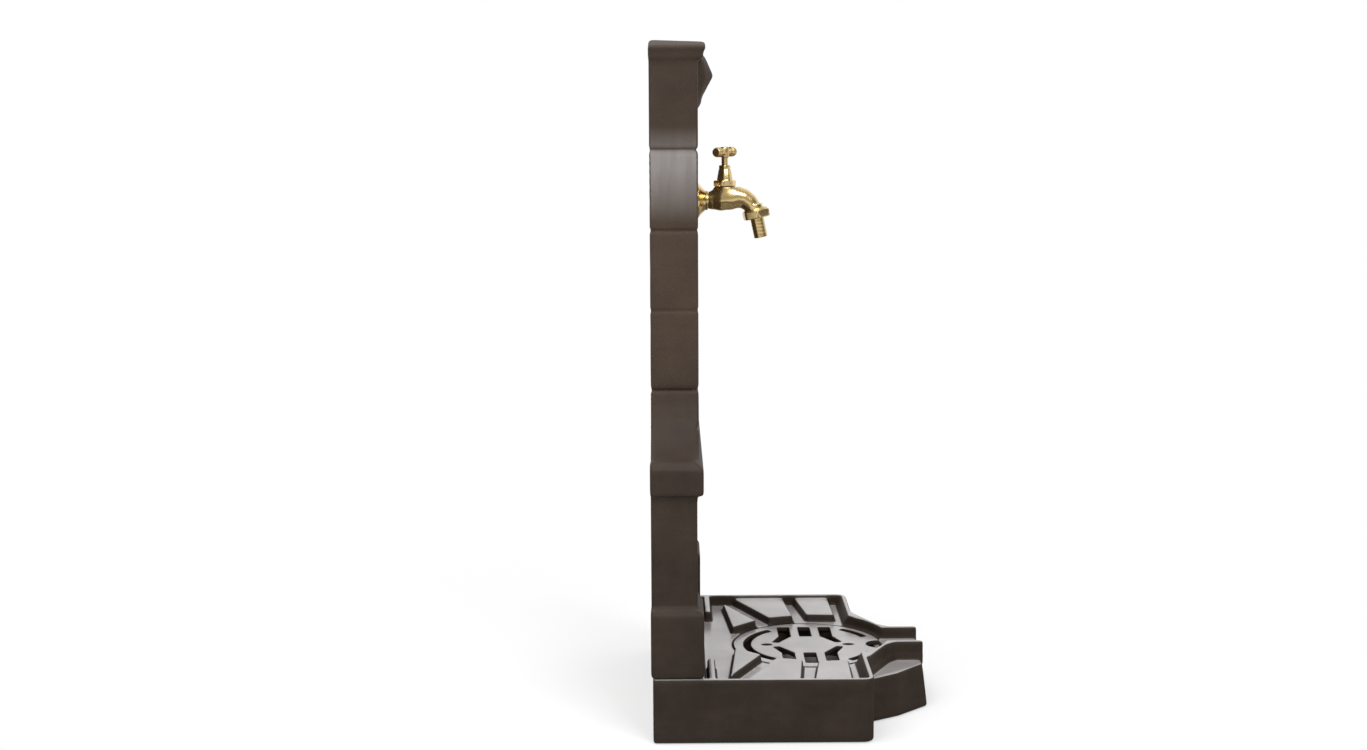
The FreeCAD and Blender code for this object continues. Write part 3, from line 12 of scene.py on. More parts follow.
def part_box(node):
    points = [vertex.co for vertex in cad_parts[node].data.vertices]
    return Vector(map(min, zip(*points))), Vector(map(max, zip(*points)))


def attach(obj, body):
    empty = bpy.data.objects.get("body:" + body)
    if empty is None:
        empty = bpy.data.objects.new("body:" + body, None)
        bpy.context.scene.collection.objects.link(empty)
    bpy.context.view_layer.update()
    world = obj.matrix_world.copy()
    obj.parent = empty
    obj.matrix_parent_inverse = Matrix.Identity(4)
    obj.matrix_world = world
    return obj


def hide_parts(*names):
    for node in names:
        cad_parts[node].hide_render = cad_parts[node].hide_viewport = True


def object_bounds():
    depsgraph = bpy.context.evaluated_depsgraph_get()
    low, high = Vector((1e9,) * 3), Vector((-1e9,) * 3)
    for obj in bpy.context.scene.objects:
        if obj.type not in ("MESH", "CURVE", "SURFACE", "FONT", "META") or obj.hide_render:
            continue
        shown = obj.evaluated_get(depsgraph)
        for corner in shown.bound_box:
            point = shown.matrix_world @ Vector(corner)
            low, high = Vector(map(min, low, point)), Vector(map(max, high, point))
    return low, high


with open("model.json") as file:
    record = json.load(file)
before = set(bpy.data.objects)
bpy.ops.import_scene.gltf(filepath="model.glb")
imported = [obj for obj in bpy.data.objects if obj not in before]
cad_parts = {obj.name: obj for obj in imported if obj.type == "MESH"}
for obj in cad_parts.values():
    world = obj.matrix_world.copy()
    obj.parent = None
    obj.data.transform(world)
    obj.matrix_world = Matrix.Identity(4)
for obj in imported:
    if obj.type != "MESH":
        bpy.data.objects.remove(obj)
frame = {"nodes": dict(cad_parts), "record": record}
CAD_BOX = [list(corner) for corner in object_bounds()]

bl_info = {
    "name": "Garden Fountain",
    "version": (1, 0, 0),
    "blender": (4, 5, 0),
    "location": "View3D > Sidebar > Fountain",
    "description": "Dresses a cast garden fountain with a brass bib tap",
    "category": "Add Mesh",
}

MM = 0.001
UP = Vector((0.0, 0.0, 1.0))
FRONT = Vector((0.0, -1.0, 0.0))

# the width in pixels that the camera's focal length refers to
PHOTO_WIDTH = 1367.0

# vertices of a solid's mesh, and of a finished one, that are closer than this are one
MERGE_GAP = 0.002 * MM
WELD_GAP = 0.001 * MM


# Places read from the frame

def middle_of(node):
    low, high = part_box(node)
    return (low + high) / 2


def mount(name):
    for entry in frame["record"]["mounts"]:
        if entry["name"] == name:
            return entry
    raise ValueError("no mount named " + name)


TAP_AXIS = middle_of("bonnet_washer")
TAP_LEVEL = middle_of("tap_rosette").z
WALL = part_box("tap_rosette")[1].y
UNION_AXIS = Vector(mount("hose_tail")["axis"]).normalized()
UNION_MIDDLE = Vector(mount("hose_tail")["pos_m"])
UNION_REACH = 22.0 * MM


def on_tap_axis(level):
    return Vector((TAP_AXIS.x, TAP_AXIS.y, level))


# Shader helpers

def pick(sockets, key):
    """A socket by its number, name or identifier."""
    if isinstance(key, int):
        return sockets[key]
    for socket in sockets:
        if socket.enabled and key in (socket.identifier, socket.name):
            return socket
    raise KeyError(key)


def set_stops(ramp, stops):
    while len(ramp.elements) < len(stops):
        ramp.elements.new(1.0)
    for element, (position, level) in zip(ramp.elements, stops):
        element.position = position
        element.color = (level, level, level, 1.0)


def add_node(tree, kind, settings, values):
    """Add a node: its settings first, then its inputs, each a value or a socket to link."""
    node = tree.nodes.new(kind)
    for key, setting in (settings or {}).items():
        if key == "stops":
            set_stops(node.color_ramp, setting)
        else:
            setattr(node, key, setting)
    for key, value in (values or {}).items():
        socket = pick(node.inputs, key)
        if isinstance(value, bpy.types.NodeSocket):
            tree.links.new(value, socket)
        else:
            socket.default_value = value
    return node


class Value:
    """A socket that takes part in arithmetic; each operation adds a Math node."""

    def __init__(self, shade, socket):
        self.shade = shade
        self.socket = socket

    def _math(self, operation, first, second):
        return self.shade.add("ShaderNodeMath", {"operation": operation}, {0: first, 1: second})

    def __add__(self, other):
        return self._math("ADD", self, other)

    def __radd__(self, other):
        return self._math("ADD", other, self)

    def __sub__(self, other):
        return self._math("SUBTRACT", self, other)

    def __rsub__(self, other):
        return self._math("SUBTRACT", other, self)

    def __mul__(self, other):
        return self._math("MULTIPLY", self, other)

    def __rmul__(self, other):
        return self._math("MULTIPLY", other, self)


class Shade:
    """The shader nodes of a material or a world, being written."""

    def __init__(self, owner, output="ShaderNodeOutputMaterial"):
        self.owner = owner
        owner.use_nodes = True
        self.tree = owner.node_tree
        self.tree.nodes.clear()
        self.output = self.tree.nodes.new(output)

    def add(self, kind, settings=None, values=None, out=0):
        """Add a node, and give back one of its outputs."""
        plain = {key: value.socket if isinstance(value, Value) else value
                 for key, value in (values or {}).items()}
        return Value(self, pick(add_node(self.tree, kind, settings, plain).outputs, out))

    def finish(self, surface):
        self.tree.links.new(surface.socket, self.output.inputs["Surface"])
        return self.owner

    def grain(self, size, detail, roughness, stretch=(1.0, 1.0, 1.0)):
        """Noise whose features are about a size in metres."""
        raw = self.add("ShaderNodeTexCoord", out="Object")
        place = self.add("ShaderNodeMapping", None, {"Vector": raw, "Scale": stretch}, "Vector")
        return self.add("ShaderNodeTexNoise", None, {
            "Vector": place, "Scale": 1.0 / size, "Detail": detail, "Roughness": roughness}, "Fac")

    def ramp(self, value, *stops):
        return self.add("ShaderNodeValToRGB", {"stops": stops}, {"Fac": value}, "Color")

    def mix(self, factor, first, second):
        return self.add("ShaderNodeMix", {"data_type": "RGBA"}, {
            "Factor_Float": factor, "A_Color": first, "B_Color": second}, "Result_Color")

    def bump(self, height, distance, strength, below=None):
        values = {"Height": height, "Distance": distance, "Strength": strength}
        if below is not None:
            values["Normal"] = below
        return self.add("ShaderNodeBump", None, values, "Normal")

    def part(self, vector, axis):
        """A vector's share along one axis."""
        return self.add("ShaderNodeSeparateXYZ", None, {"Vector": vector}, axis)

    def upright(self):
        """How far the surface looks up, from -1 to 1."""
        return self.part(self.add("ShaderNodeNewGeometry", out="Normal"), "Z")

    def sideways(self):
        """How far the surface looks to either side, from 0 to 1."""
        across = self.part(self.add("ShaderNodeNewGeometry", out="Normal"), "X")
        return across * across

    def level(self):
        """Height over the floor in metres."""
        return self.part(self.add("ShaderNodeTexCoord", out="Object"), "Z")

    def surface(self, **values):
        named = {key.replace("_", " "): value for key, value in values.items()}
        return self.add("ShaderNodeBsdfPrincipled", None, named, "BSDF")


def paint(colour, factors=1.0):
    """An opaque colour, times one factor or a factor for each channel."""
    if isinstance(factors, float):
        factors = (factors,) * 3
    return tuple(min(channel * factor, 1.0) for channel, factor in zip(colour, factors)) + (1.0,)


# Materials

# ramps by the height over the floor, the height in metres and the level there: painted shade and
# light by height, a painted highlight round the upper joint, and the low faces that get the painted
# sheen
SHADE_BY_HEIGHT_LEVELS = ((0.05, 0.0), (0.29, 0.38), (0.34, 0.10), (0.39, 0.55), (0.46, 1.0),
                (0.60, 0.92), (0.74, 0.50))
PAINTED_HIGHLIGHT_LEVELS = ((0.590, 0.0), (0.655, 0.9), (0.6715, 1.0), (0.6727, 0.0), (0.6745, 0.0),
                (0.6765, 0.35), (0.70, 0.0))
LOW_SHEEN_LEVELS = ((0.085, 1.0), (0.16, 0.0))

# ramps by how far a face looks up, and how far it looks to a side
TOP_FACES = ((0.80, 0.0), (0.95, 1.0))
SIDE_FACES = ((0.62, 0.0), (0.80, 1.0))

# the darkest and the lightest paint against its own colour; the mottle and the painted shade by
# height mix between them
DARK_PAINT = 0.52
LIGHT_PAINT = 1.42

# tarnished and cast brass against polished brass, for each channel
DULL_BRASS = (0.66, 0.56, 0.42)
WARM_BRASS = (0.93, 0.93, 0.95)


def cast_paint(name, colour, painted_sheen, painted_sheen_amount):
    """Dark semi-gloss paint on a sand casting: grain, runs, painted shade and light by height, and
    a painted grey sheen on the low top faces.

    It has a painted highlight on the side faces round the upper joint.
    """
    shade = Shade(bpy.data.materials.new(name))
    blotch = shade.grain(45 * MM, 3.0, 0.6)
    streak = shade.grain(15 * MM, 3.0, 0.55, (1.0, 1.0, 0.08))
    cross = shade.grain(11 * MM, 2.0, 0.5, (0.18, 0.18, 1.0))
    sand = shade.grain(1.0 * MM, 2.0, 0.6)
    pits = shade.grain(3.4 * MM, 1.0, 0.4)
    level = shade.level()
    cloud = shade.ramp(blotch * 0.62 + streak * 0.16 + cross * 0.22, (0.34, 0.0), (0.66, 1.0))
    # painted shade and light by height: darker towards the bottom and on the flare, lightest at mid
    # height
    painted_shade_by_height = shade.ramp(level, *SHADE_BY_HEIGHT_LEVELS)
    mottle_and_shade = 0.36 * cloud + 0.64 * painted_shade_by_height
    base = shade.mix(mottle_and_shade, paint(colour, DARK_PAINT), paint(colour, LIGHT_PAINT))
    # painted sheen: the low top faces are lighter and grey in a mottle, as a reflection of the
    # white backdrop makes them; the same mask gives them a clear coat
    top = shade.ramp(shade.upright(), *TOP_FACES)
    low = shade.ramp(level, *LOW_SHEEN_LEVELS)
    sheen_mottle = shade.ramp(blotch * 0.55 + sand * 0.45, (0.3, 0.72), (0.6, 1.0))
    painted_sheen_mask = top * low * sheen_mottle
    base = shade.mix(painted_sheen_mask * painted_sheen_amount, base, paint(painted_sheen))
    # painted highlight: the side faces round the upper joint are lighter, as a sheen of light there
    # makes them, with a dark line at the joint itself
    band = shade.ramp(level, *PAINTED_HIGHLIGHT_LEVELS)
    side = shade.ramp(shade.sideways(), *SIDE_FACES)
    painted_highlight = band * side * (0.45 + 0.55 * streak)
    base = shade.mix(painted_highlight * 0.8, base, paint(painted_sheen))
    rough = 0.50 - 0.18 * painted_sheen_mask + 0.10 * blotch + 0.12 * sand
    fine = shade.bump(sand, 0.25 * MM, 0.45)
    pitted = shade.bump(shade.ramp(pits, (0.3, 0.0), (0.42, 1.0)), 0.2 * MM, 0.3, fine)
    waves = shade.bump(streak * 0.6 + cross * 0.4, 0.5 * MM, 0.4, pitted)
    return shade.finish(shade.surface(
        Base_Color=base, Roughness=rough, Normal=waves, IOR=1.33, Coat_Weight=painted_sheen_mask,
        Coat_IOR=1.9, Coat_Roughness=0.22))


def brass(name, colour, roughness, grain_size, tarnish=0.25):
    """Brass with a fine finish and a little tarnish in patches."""
    shade = Shade(bpy.data.materials.new(name))
    patch = shade.grain(7 * MM, 3.0, 0.6)
    fine = shade.grain(grain_size, 2.0, 0.6)
    mask = shade.ramp(patch, (0.42, 0.0), (0.72, 1.0)) * tarnish
    base = shade.mix(mask, paint(colour), paint(colour, DULL_BRASS))
    rough = roughness + 0.12 * mask + 0.06 * fine
    bumps = shade.bump(fine, 0.03 * MM, 0.35)
    return shade.finish(shade.surface(
        Base_Color=base, Roughness=rough, Normal=bumps, Metallic=1.0))


def dull_metal(name, colour, roughness, grain_size):
    """Plated or drawn metal, with streaks and a fine grain."""
    shade = Shade(bpy.data.materials.new(name))
    cloud = shade.grain(9 * MM, 3.0, 0.6)
    fine = shade.grain(grain_size, 2.0, 0.5, (1.0, 1.0, 0.3))
    base = shade.mix(shade.ramp(cloud, (0.35, 0.0), (0.7, 1.0)), paint(colour),
                     paint(colour, 0.72))
    rough = roughness + 0.15 * cloud
    bumps = shade.bump(fine, 0.03 * MM, 0.4)
    return shade.finish(shade.surface(
        Base_Color=base, Roughness=rough, Normal=bumps, Metallic=1.0))


def soft_solid(name, colour, roughness, grain_size, depth=0.08 * MM):
    """Rubber, fibre or moulded plastic."""
    shade = Shade(bpy.data.materials.new(name))
    cloud = shade.grain(6 * MM, 3.0, 0.6)
    fine = shade.grain(grain_size, 2.0, 0.5)
    base = shade.mix(cloud, paint(colour), paint(colour, 1.3))
    bumps = shade.bump(fine, depth, 0.4)
    return shade.finish(shade.surface(
        Base_Color=base, Roughness=roughness + 0.12 * fine, Normal=bumps))


def pale_floor(name):
    """A white sweep that keeps the fountain's shadow, and looks dim in mirrors close to it."""
    shade = Shade(bpy.data.materials.new(name))
    place = shade.add("ShaderNodeTexCoord", out="Object")
    distance = shade.add("ShaderNodeVectorMath", {"operation": "LENGTH"}, {0: place}, "Value")
    white = {"Color": (1.0, 1.0, 1.0, 1.0)}
    diffuse = shade.add("ShaderNodeBsdfDiffuse", None, {"Color": (0.93, 0.93, 0.93, 1.0)})
    glow = shade.add("ShaderNodeEmission", None, {**white, "Strength": 1.0})
    seen = shade.add("ShaderNodeLightPath", out="Is Camera Ray")
    fade = shade.ramp(distance * 0.5, (0.13, 0.42), (0.45, 1.0))
    direct = shade.add("ShaderNodeMixShader", None, {0: seen * fade, 1: diffuse, 2: glow})
    mirrored = shade.add("ShaderNodeLightPath", out="Is Glossy Ray")
    # painted shade: mirrors see the floor as a glow, dim close to the fountain and bright further
    # off
    far = shade.ramp(distance * 0.25, (0.27, 0.20), (0.40, 0.95))
    image = shade.add("ShaderNodeEmission", None, {**white, "Strength": far})
    mixed = shade.add("ShaderNodeMixShader", None, {0: mirrored, 1: direct, 2: image})
    return shade.finish(mixed)


MATERIALS = {}


def make_materials(look):
    """One material for each finish of the fountain."""
    brown = tuple(look.paint_colour)
    painted_sheen = tuple(look.painted_sheen_colour)
    gold = tuple(look.brass_colour)
    warm = paint(gold, WARM_BRASS)[:3]
    MATERIALS.update({
        "cast_brown": cast_paint("cast brown paint", brown, painted_sheen, 0.85),
        "cast_grate": cast_paint("grate paint", brown, painted_sheen, 0.92),
        "tap_brass": brass("polished brass", gold, 0.19, 0.5 * MM),
        "handle_brass": brass("tumbled brass", warm, 0.34, 0.35 * MM, 0.4),
        "union_brass": brass("machined brass", gold, 0.22, 0.3 * MM, 0.35),
        "spindle_brass": brass("turned brass", gold, 0.18, 0.3 * MM),
        "fitting_brass": brass("rough brass", warm, 0.36, 0.6 * MM, 0.6),
        "copper_pipe": dull_metal("drawn copper", (0.72, 0.36, 0.22), 0.28, 0.5 * MM),
        "zinc_steel": dull_metal("zinc plating", (0.60, 0.61, 0.62), 0.32, 0.4 * MM),
        "black_rubber": soft_solid("black rubber", (0.03, 0.03, 0.03), 0.7, 0.5 * MM),
        "fibre": soft_solid("brown fibre", (0.10, 0.055, 0.04), 0.6, 0.4 * MM),
        "drain_plastic": soft_solid("grey plastic", (0.28, 0.29, 0.30), 0.45, 0.3 * MM,
                                    0.02 * MM),
    })


# Mesh helpers

def object_from(name, bm):
    mesh = bpy.data.meshes.new(name)
    bm.to_mesh(mesh)
    bm.free()
    obj = bpy.data.objects.new(name, mesh)
    bpy.context.scene.collection.objects.link(obj)
    return obj


def finish_piece(name, bm, slot, body, node, smooth_angle=35.0):
    """Make a mesh a visible piece, with its finish, its body and its CAD node."""
    obj = object_from(name, bm)
    mesh = obj.data
    mesh.materials.clear()  # this sets the faces' material index to 0 as well
    mesh.materials.append(MATERIALS[slot])
    mesh.shade_smooth()
    mesh.set_sharp_from_angle(angle=math.radians(smooth_angle))
    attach(obj, body)
    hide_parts(node)


def merged_mesh(node):
    """A copy of a CAD node's mesh with its double vertices merged."""
    bm = bmesh.new()
    bm.from_mesh(frame["nodes"][node].data)
    bmesh.ops.remove_doubles(bm, verts=bm.verts, dist=MERGE_GAP)
    return bm


def bevel_sharp(bm, width, angle=28.0):
    """Round the edges of a mesh that turn by more than an angle in degrees."""
    sharp = [edge for edge in bm.edges
             if edge.is_manifold and edge.calc_face_angle(0.0) > math.radians(angle)]
    bmesh.ops.bevel(bm, geom=sharp, offset=width, offset_type="OFFSET", segments=2,
                    profile=0.5, affect="EDGES", clamp_overlap=True)


# a joint's depth and half its width, in millimetres
JOINT_DEPTH = 0.9
JOINT_HALF = 1.7

# a distance field's reach on either side of the surface and its margin, in cells
FIELD_REACH = 4.0
FIELD_MARGIN = 5

# how far flat areas of a field's surface are joined, from 0 to 1
FIELD_JOINING = 0.02


def softened(node, cell, limit=0.9, passes=3, joints=()):
    """A CAD node's shape with all its corners rounded, as sand casting leaves them.

    The shape becomes a distance field with cells of a size in millimetres; each pass
    averages it once, which rounds the corners and leaves the flat faces in place. The
    surface moves by less than the limit, so that thin walls stay. Joints are levels at
    which a shallow groove runs round the shape.
    """
    source = frame["nodes"][node].data
    source.calc_loop_triangles()
    spots = numpy.empty(len(source.vertices) * 3, dtype=numpy.float32)
    source.vertices.foreach_get("co", spots)
    spots = spots.reshape(-1, 3) / MM
    corners = numpy.empty(len(source.loop_triangles) * 3, dtype=numpy.int32)
    source.loop_triangles.foreach_get("vertices", corners)
    grid = openvdb.FloatGrid.createLevelSetFromPolygons(
        spots, triangles=corners.reshape(-1, 3).astype(numpy.uint32),
        transform=openvdb.createLinearTransform(voxelSize=cell), halfWidth=FIELD_REACH)
    low = numpy.floor(spots.min(axis=0) / cell).astype(int) - FIELD_MARGIN
    high = numpy.ceil(spots.max(axis=0) / cell).astype(int) + FIELD_MARGIN
    field = numpy.empty(tuple(high - low), dtype=numpy.float32)
    grid.copyToArray(field, ijk=tuple(int(count) for count in low))
    sharp = field.copy()
    for _ in range(passes):
        for axis in range(3):
            field = (numpy.roll(field, 1, axis) + field + numpy.roll(field, -1, axis)) / 3.0
    levels = (numpy.arange(low[2], high[2]) * cell).astype(numpy.float32)
    for joint in joints:
        field += JOINT_DEPTH * numpy.exp(-((levels - joint) / JOINT_HALF) ** 2)
    field = numpy.clip(field, sharp - limit, sharp + limit)
    rounded = openvdb.FloatGrid(background=FIELD_REACH * cell)
    rounded.copyFromArray(field)
    points, triangles, quads = rounded.convertToPolygons(0.0, FIELD_JOINING)
    points = (points + low) * cell * MM
    mesh = bpy.data.meshes.new("softened " + node)
    mesh.from_pydata(points.tolist(), [], triangles.tolist() + quads.tolist())
    bm = bmesh.new()
    bm.from_mesh(mesh)
    bpy.data.meshes.remove(mesh)
    bmesh.ops.recalc_face_normals(bm, faces=bm.faces)
    return bm


def islands(node):
    """The boxes of a CAD node's separate solids, as pairs of corners, from left to right."""
    bm = merged_mesh(node)
    waiting = set(bm.verts)
    boxes = []
    while waiting:
        front = [waiting.pop()]
        found = list(front)
        while front:
            for edge in front.pop().link_edges:
                for vert in edge.verts:
                    if vert in waiting:
                        waiting.remove(vert)
                        front.append(vert)
                        found.append(vert)
        boxes.append([Vector([furthest(vert.co[index] for vert in found) for index in range(3)])
                      for furthest in (min, max)])
    bm.free()
    return sorted(boxes, key=lambda box: (round(box[0].x, 4), box[0].z))


def along_axis(origin, direction, turn=0.0):
    """A matrix whose Z runs along a direction from an origin, turned about it in degrees."""
    rotation = Vector(direction).to_track_quat("Z", "Y").to_matrix().to_4x4()
    return (Matrix.Translation(origin) @ rotation
            @ Matrix.Rotation(math.radians(turn), 4, "Z"))


def turned(rows, place, segments=72, bm=None):
    """A turned or faceted piece: rows of (height, radius) or (height, radius, apothem, sides).

    A row that has an apothem follows a polygon and is cut off at the radius.
    """
    bm = bm or bmesh.new()
    loops = []
    for row in rows:
        height, limit = row[0], row[1]
        if limit == 0.0:
            loops.append([bm.verts.new(place @ Vector((0.0, 0.0, height * MM)))])
            continue
        loop = []
        for step in range(segments):
            angle = math.tau * step / segments
            reach = limit
            if len(row) > 2:
                wedge = math.tau / row[3]
                off = (angle + wedge / 2) % wedge - wedge / 2
                reach = min(limit, row[2] / math.cos(off))
            spot = Vector((math.cos(angle) * reach, math.sin(angle) * reach, height)) * MM
            loop.append(bm.verts.new(place @ spot))
        loops.append(loop)
    for low, high in zip(loops, loops[1:]):
        for step in range(segments):
            after = (step + 1) % segments
            corners = [low[step % len(low)], low[after % len(low)],
                       high[after % len(high)], high[step % len(high)]]
            corners = list(dict.fromkeys(corners))
            if len(corners) > 2:
                bm.faces.new(corners)
    bmesh.ops.recalc_face_normals(bm, faces=bm.faces)
    return bm


# a distance in millimetres from every piece, and the cells on either side of the skin
FAR_AWAY = 100.0
SKIN_REACH = 3.0


class Clay:
    """A solid in a distance field: pieces blend into one another as in a casting.

    Places and radii are in millimetres.
    """

    def __init__(self, low, high, cell):
        self.cell = cell
        self.low = low
        counts = [int((b - a) / cell) + 2 for a, b in zip(low, high)]
        axes = [numpy.arange(count, dtype=numpy.float32) * cell + a
                for count, a in zip(counts, low)]
        self.spots = numpy.stack(numpy.meshgrid(*axes, indexing="ij"), axis=-1)
        self.field = numpy.full(self.spots.shape[:3], FAR_AWAY, dtype=numpy.float32)

    def limb(self, start, end, start_radius, end_radius):
        """Distance to a rounded limb between two points."""
        start = numpy.array(start, dtype=numpy.float32)
        line = numpy.array(end, dtype=numpy.float32) - start
        away = self.spots - start
        share = numpy.clip((away @ line) / float(line @ line), 0.0, 1.0)
        gap = numpy.linalg.norm(away - share[..., None] * line, axis=-1)
        return gap - (start_radius + (end_radius - start_radius) * share)

    def drum(self, start, end, radius, end_radius=None, edge=0.4):
        """Distance to a flat-ended drum or cone between two points, its edges rounded."""
        end_radius = radius if end_radius is None else end_radius
        start = numpy.array(start, dtype=numpy.float32)
        line = numpy.array(end, dtype=numpy.float32) - start
        length = float(numpy.linalg.norm(line))
        line = line / length
        away = self.spots - start
        height = away @ line
        out = numpy.linalg.norm(away - height[..., None] * line, axis=-1)
        share = numpy.clip(height / length, 0.0, 1.0)
        side = out - (radius + (end_radius - radius) * share) + edge
        cap = numpy.abs(height - length / 2) - length / 2 + edge
        outside = numpy.sqrt(numpy.maximum(side, 0.0) ** 2 + numpy.maximum(cap, 0.0) ** 2)
        return outside + numpy.minimum(numpy.maximum(side, cap), 0.0) - edge

    def add(self, shape, blend=0.0):
        if blend > 0.0:
            part = numpy.maximum(blend - numpy.abs(self.field - shape), 0.0) / blend
            self.field = numpy.minimum(self.field, shape) - part * part * blend / 4
        else:
            self.field = numpy.minimum(self.field, shape)

    def carve(self, shape):
        self.field = numpy.maximum(self.field, -shape)

    def skin(self, place):
        """The solid's surface as a mesh, moved from millimetres into the frame."""
        grid = openvdb.FloatGrid(background=SKIN_REACH)
        grid.copyFromArray(numpy.clip(self.field / self.cell, -SKIN_REACH, SKIN_REACH))
        points, quads = grid.convertToQuads(0.0)
        bm = bmesh.new()
        verts = [bm.verts.new(place @ (Vector([
            point[index] * self.cell + self.low[index] for index in range(3)]) * MM))
            for point in points]
        for quad in quads:
            bm.faces.new([verts[index] for index in quad])
        bmesh.ops.recalc_face_normals(bm, faces=bm.faces)
        return bm


def soft_copy(name, node, width, slot):
    """A CAD node's shape, its flat areas joined into single faces and its edges rounded."""
    bm = merged_mesh(node)
    bmesh.ops.dissolve_limit(bm, angle_limit=math.radians(0.6), verts=bm.verts, edges=bm.edges)
    bevel_sharp(bm, width)
    finish_piece(name, bm, slot, "root", node)


# Operators

class FountainLook(bpy.types.PropertyGroup):
    """Colours and edge sizes that a user would change."""
    paint_colour: FloatVectorProperty(
        name="Paint", description="Colour of the brown casting paint", subtype="COLOR",
        size=3, default=(0.046, 0.030, 0.020), min=0.0, max=1.0)
    # the colour of the painted sheen on the low top faces and of the painted highlight round the
    # upper joint
    painted_sheen_colour: FloatVectorProperty(
        name="Sheen", description="Colour of the grey bloom on top faces", subtype="COLOR",
        size=3, default=(0.42, 0.395, 0.39), min=0.0, max=1.0)
    brass_colour: FloatVectorProperty(
        name="Brass", description="Colour of the polished brass", subtype="COLOR",
        size=3, default=(0.78, 0.58, 0.27), min=0.0, max=1.0)
    casting_cell: FloatProperty(
        name="Casting grain", description="Cell size that rounds the castings' corners",
        subtype="DISTANCE", unit="LENGTH", default=1.5 * MM, min=1.0 * MM, max=3 * MM)
    metal_edge: FloatProperty(
        name="Metal edge", description="Rounding of the machined edges", subtype="DISTANCE",
        unit="LENGTH", default=0.4 * MM, min=0.05 * MM, max=1.5 * MM)


# the column's joints in millimetres: how far the ledge is under the column's top, the lowest
# joint over the ledge, the height of a course, and how many joints there are
LEDGE_DROP = 474.0
FIRST_JOINT = 70.0
COURSE_HEIGHT = 92.5
JOINT_COUNT = 4

# how far rounding may move the faces of the column and the tray, in millimetres
COLUMN_LIMIT = 1.2
TRAY_LIMIT = 1.6

# the cells of the tray and the grate against those of the column
TRAY_CELL = 0.85
GRATE_CELL = 0.5

# edges of a casting that turn by more degrees than this stay sharp in the shading
CASTING_ANGLE = 60.0


def cast_piece(context, name, node, slot, body, cell_share=1.0, **softening):
    """A casting's piece, softened in cells that are a share of the chosen size."""
    cell = context.scene.fountain_look.casting_cell / MM * cell_share
    finish_piece(name, softened(node, cell, **softening), slot, body, node, CASTING_ANGLE)


class FOUNTAIN_OT_column(bpy.types.Operator):
    """Model the column casting"""
    bl_idname = "fountain.column"
    bl_label = "Column"

    def execute(self, context):
        ledge = (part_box("column_casting")[1].z - LEDGE_DROP * MM) / MM
        joints = [ledge + FIRST_JOINT + COURSE_HEIGHT * count for count in range(JOINT_COUNT)]
        cast_piece(context, "column", "column_casting", "cast_brown", "root",
                   limit=COLUMN_LIMIT, joints=joints)
        return {"FINISHED"}


class FOUNTAIN_OT_tray(bpy.types.Operator):
    """Model the drip tray casting"""
    bl_idname = "fountain.tray"
    bl_label = "Drip tray"

    def execute(self, context):
        cast_piece(context, "drip_tray", "tray_casting", "cast_brown", "root", TRAY_CELL,
                   limit=TRAY_LIMIT)
        return {"FINISHED"}


class FOUNTAIN_OT_grate(bpy.types.Operator):
    """Model the drain grate"""
    bl_idname = "fountain.grate"
    bl_label = "Drain grate"

    def execute(self, context):
        cast_piece(context, "grate", "drain_grate", "cast_grate", "grate", GRATE_CELL, passes=2)
        return {"FINISHED"}


def tap_place():
    """Millimetres forward (X), to the side (Y) and up (Z) of the tap's middle."""
    turn = Matrix(((0.0, 1.0, 0.0), (-1.0, 0.0, 0.0), (0.0, 0.0, 1.0))).to_4x4()
    return Matrix.Translation(on_tap_axis(TAP_LEVEL)) @ turn


# the spout's line from the neck to the union: forward, up and its radius, in millimetres
SPOUT_LINE = ((-22.5, 0.8, 9.2), (-15.0, 0.2, 10.3), (-5.0, 0.4, 12.1), (6.0, 1.8, 12.5),
              (15.0, 3.6, 12.2), (22.0, 2.2, 11.0), (28.0, -1.8, 10.2), (32.4, -6.8, 9.9))

# radii of the tap's casting in millimetres
TOWER_FOOT = 12.4
TOWER_TOP = 12.2
SPOUT_START = 9.9
SPOUT_END = 10.0
COLLAR = 11.6
TAIL = 10.4
SPOUT_THREAD = 12.9

# radii of the ways inside it: the valve's chamber, its seat, the tail and the spout
CHAMBER = 9.65
SEAT_HOLE = 5.0
TAIL_WAY = 4.4
SPOUT_WAY = 5.5

# how far the tail's way is under the tap's middle, and the tail's end behind the wall
TAIL_WAY_DROP = 3.3
TAIL_REACH = 24.8


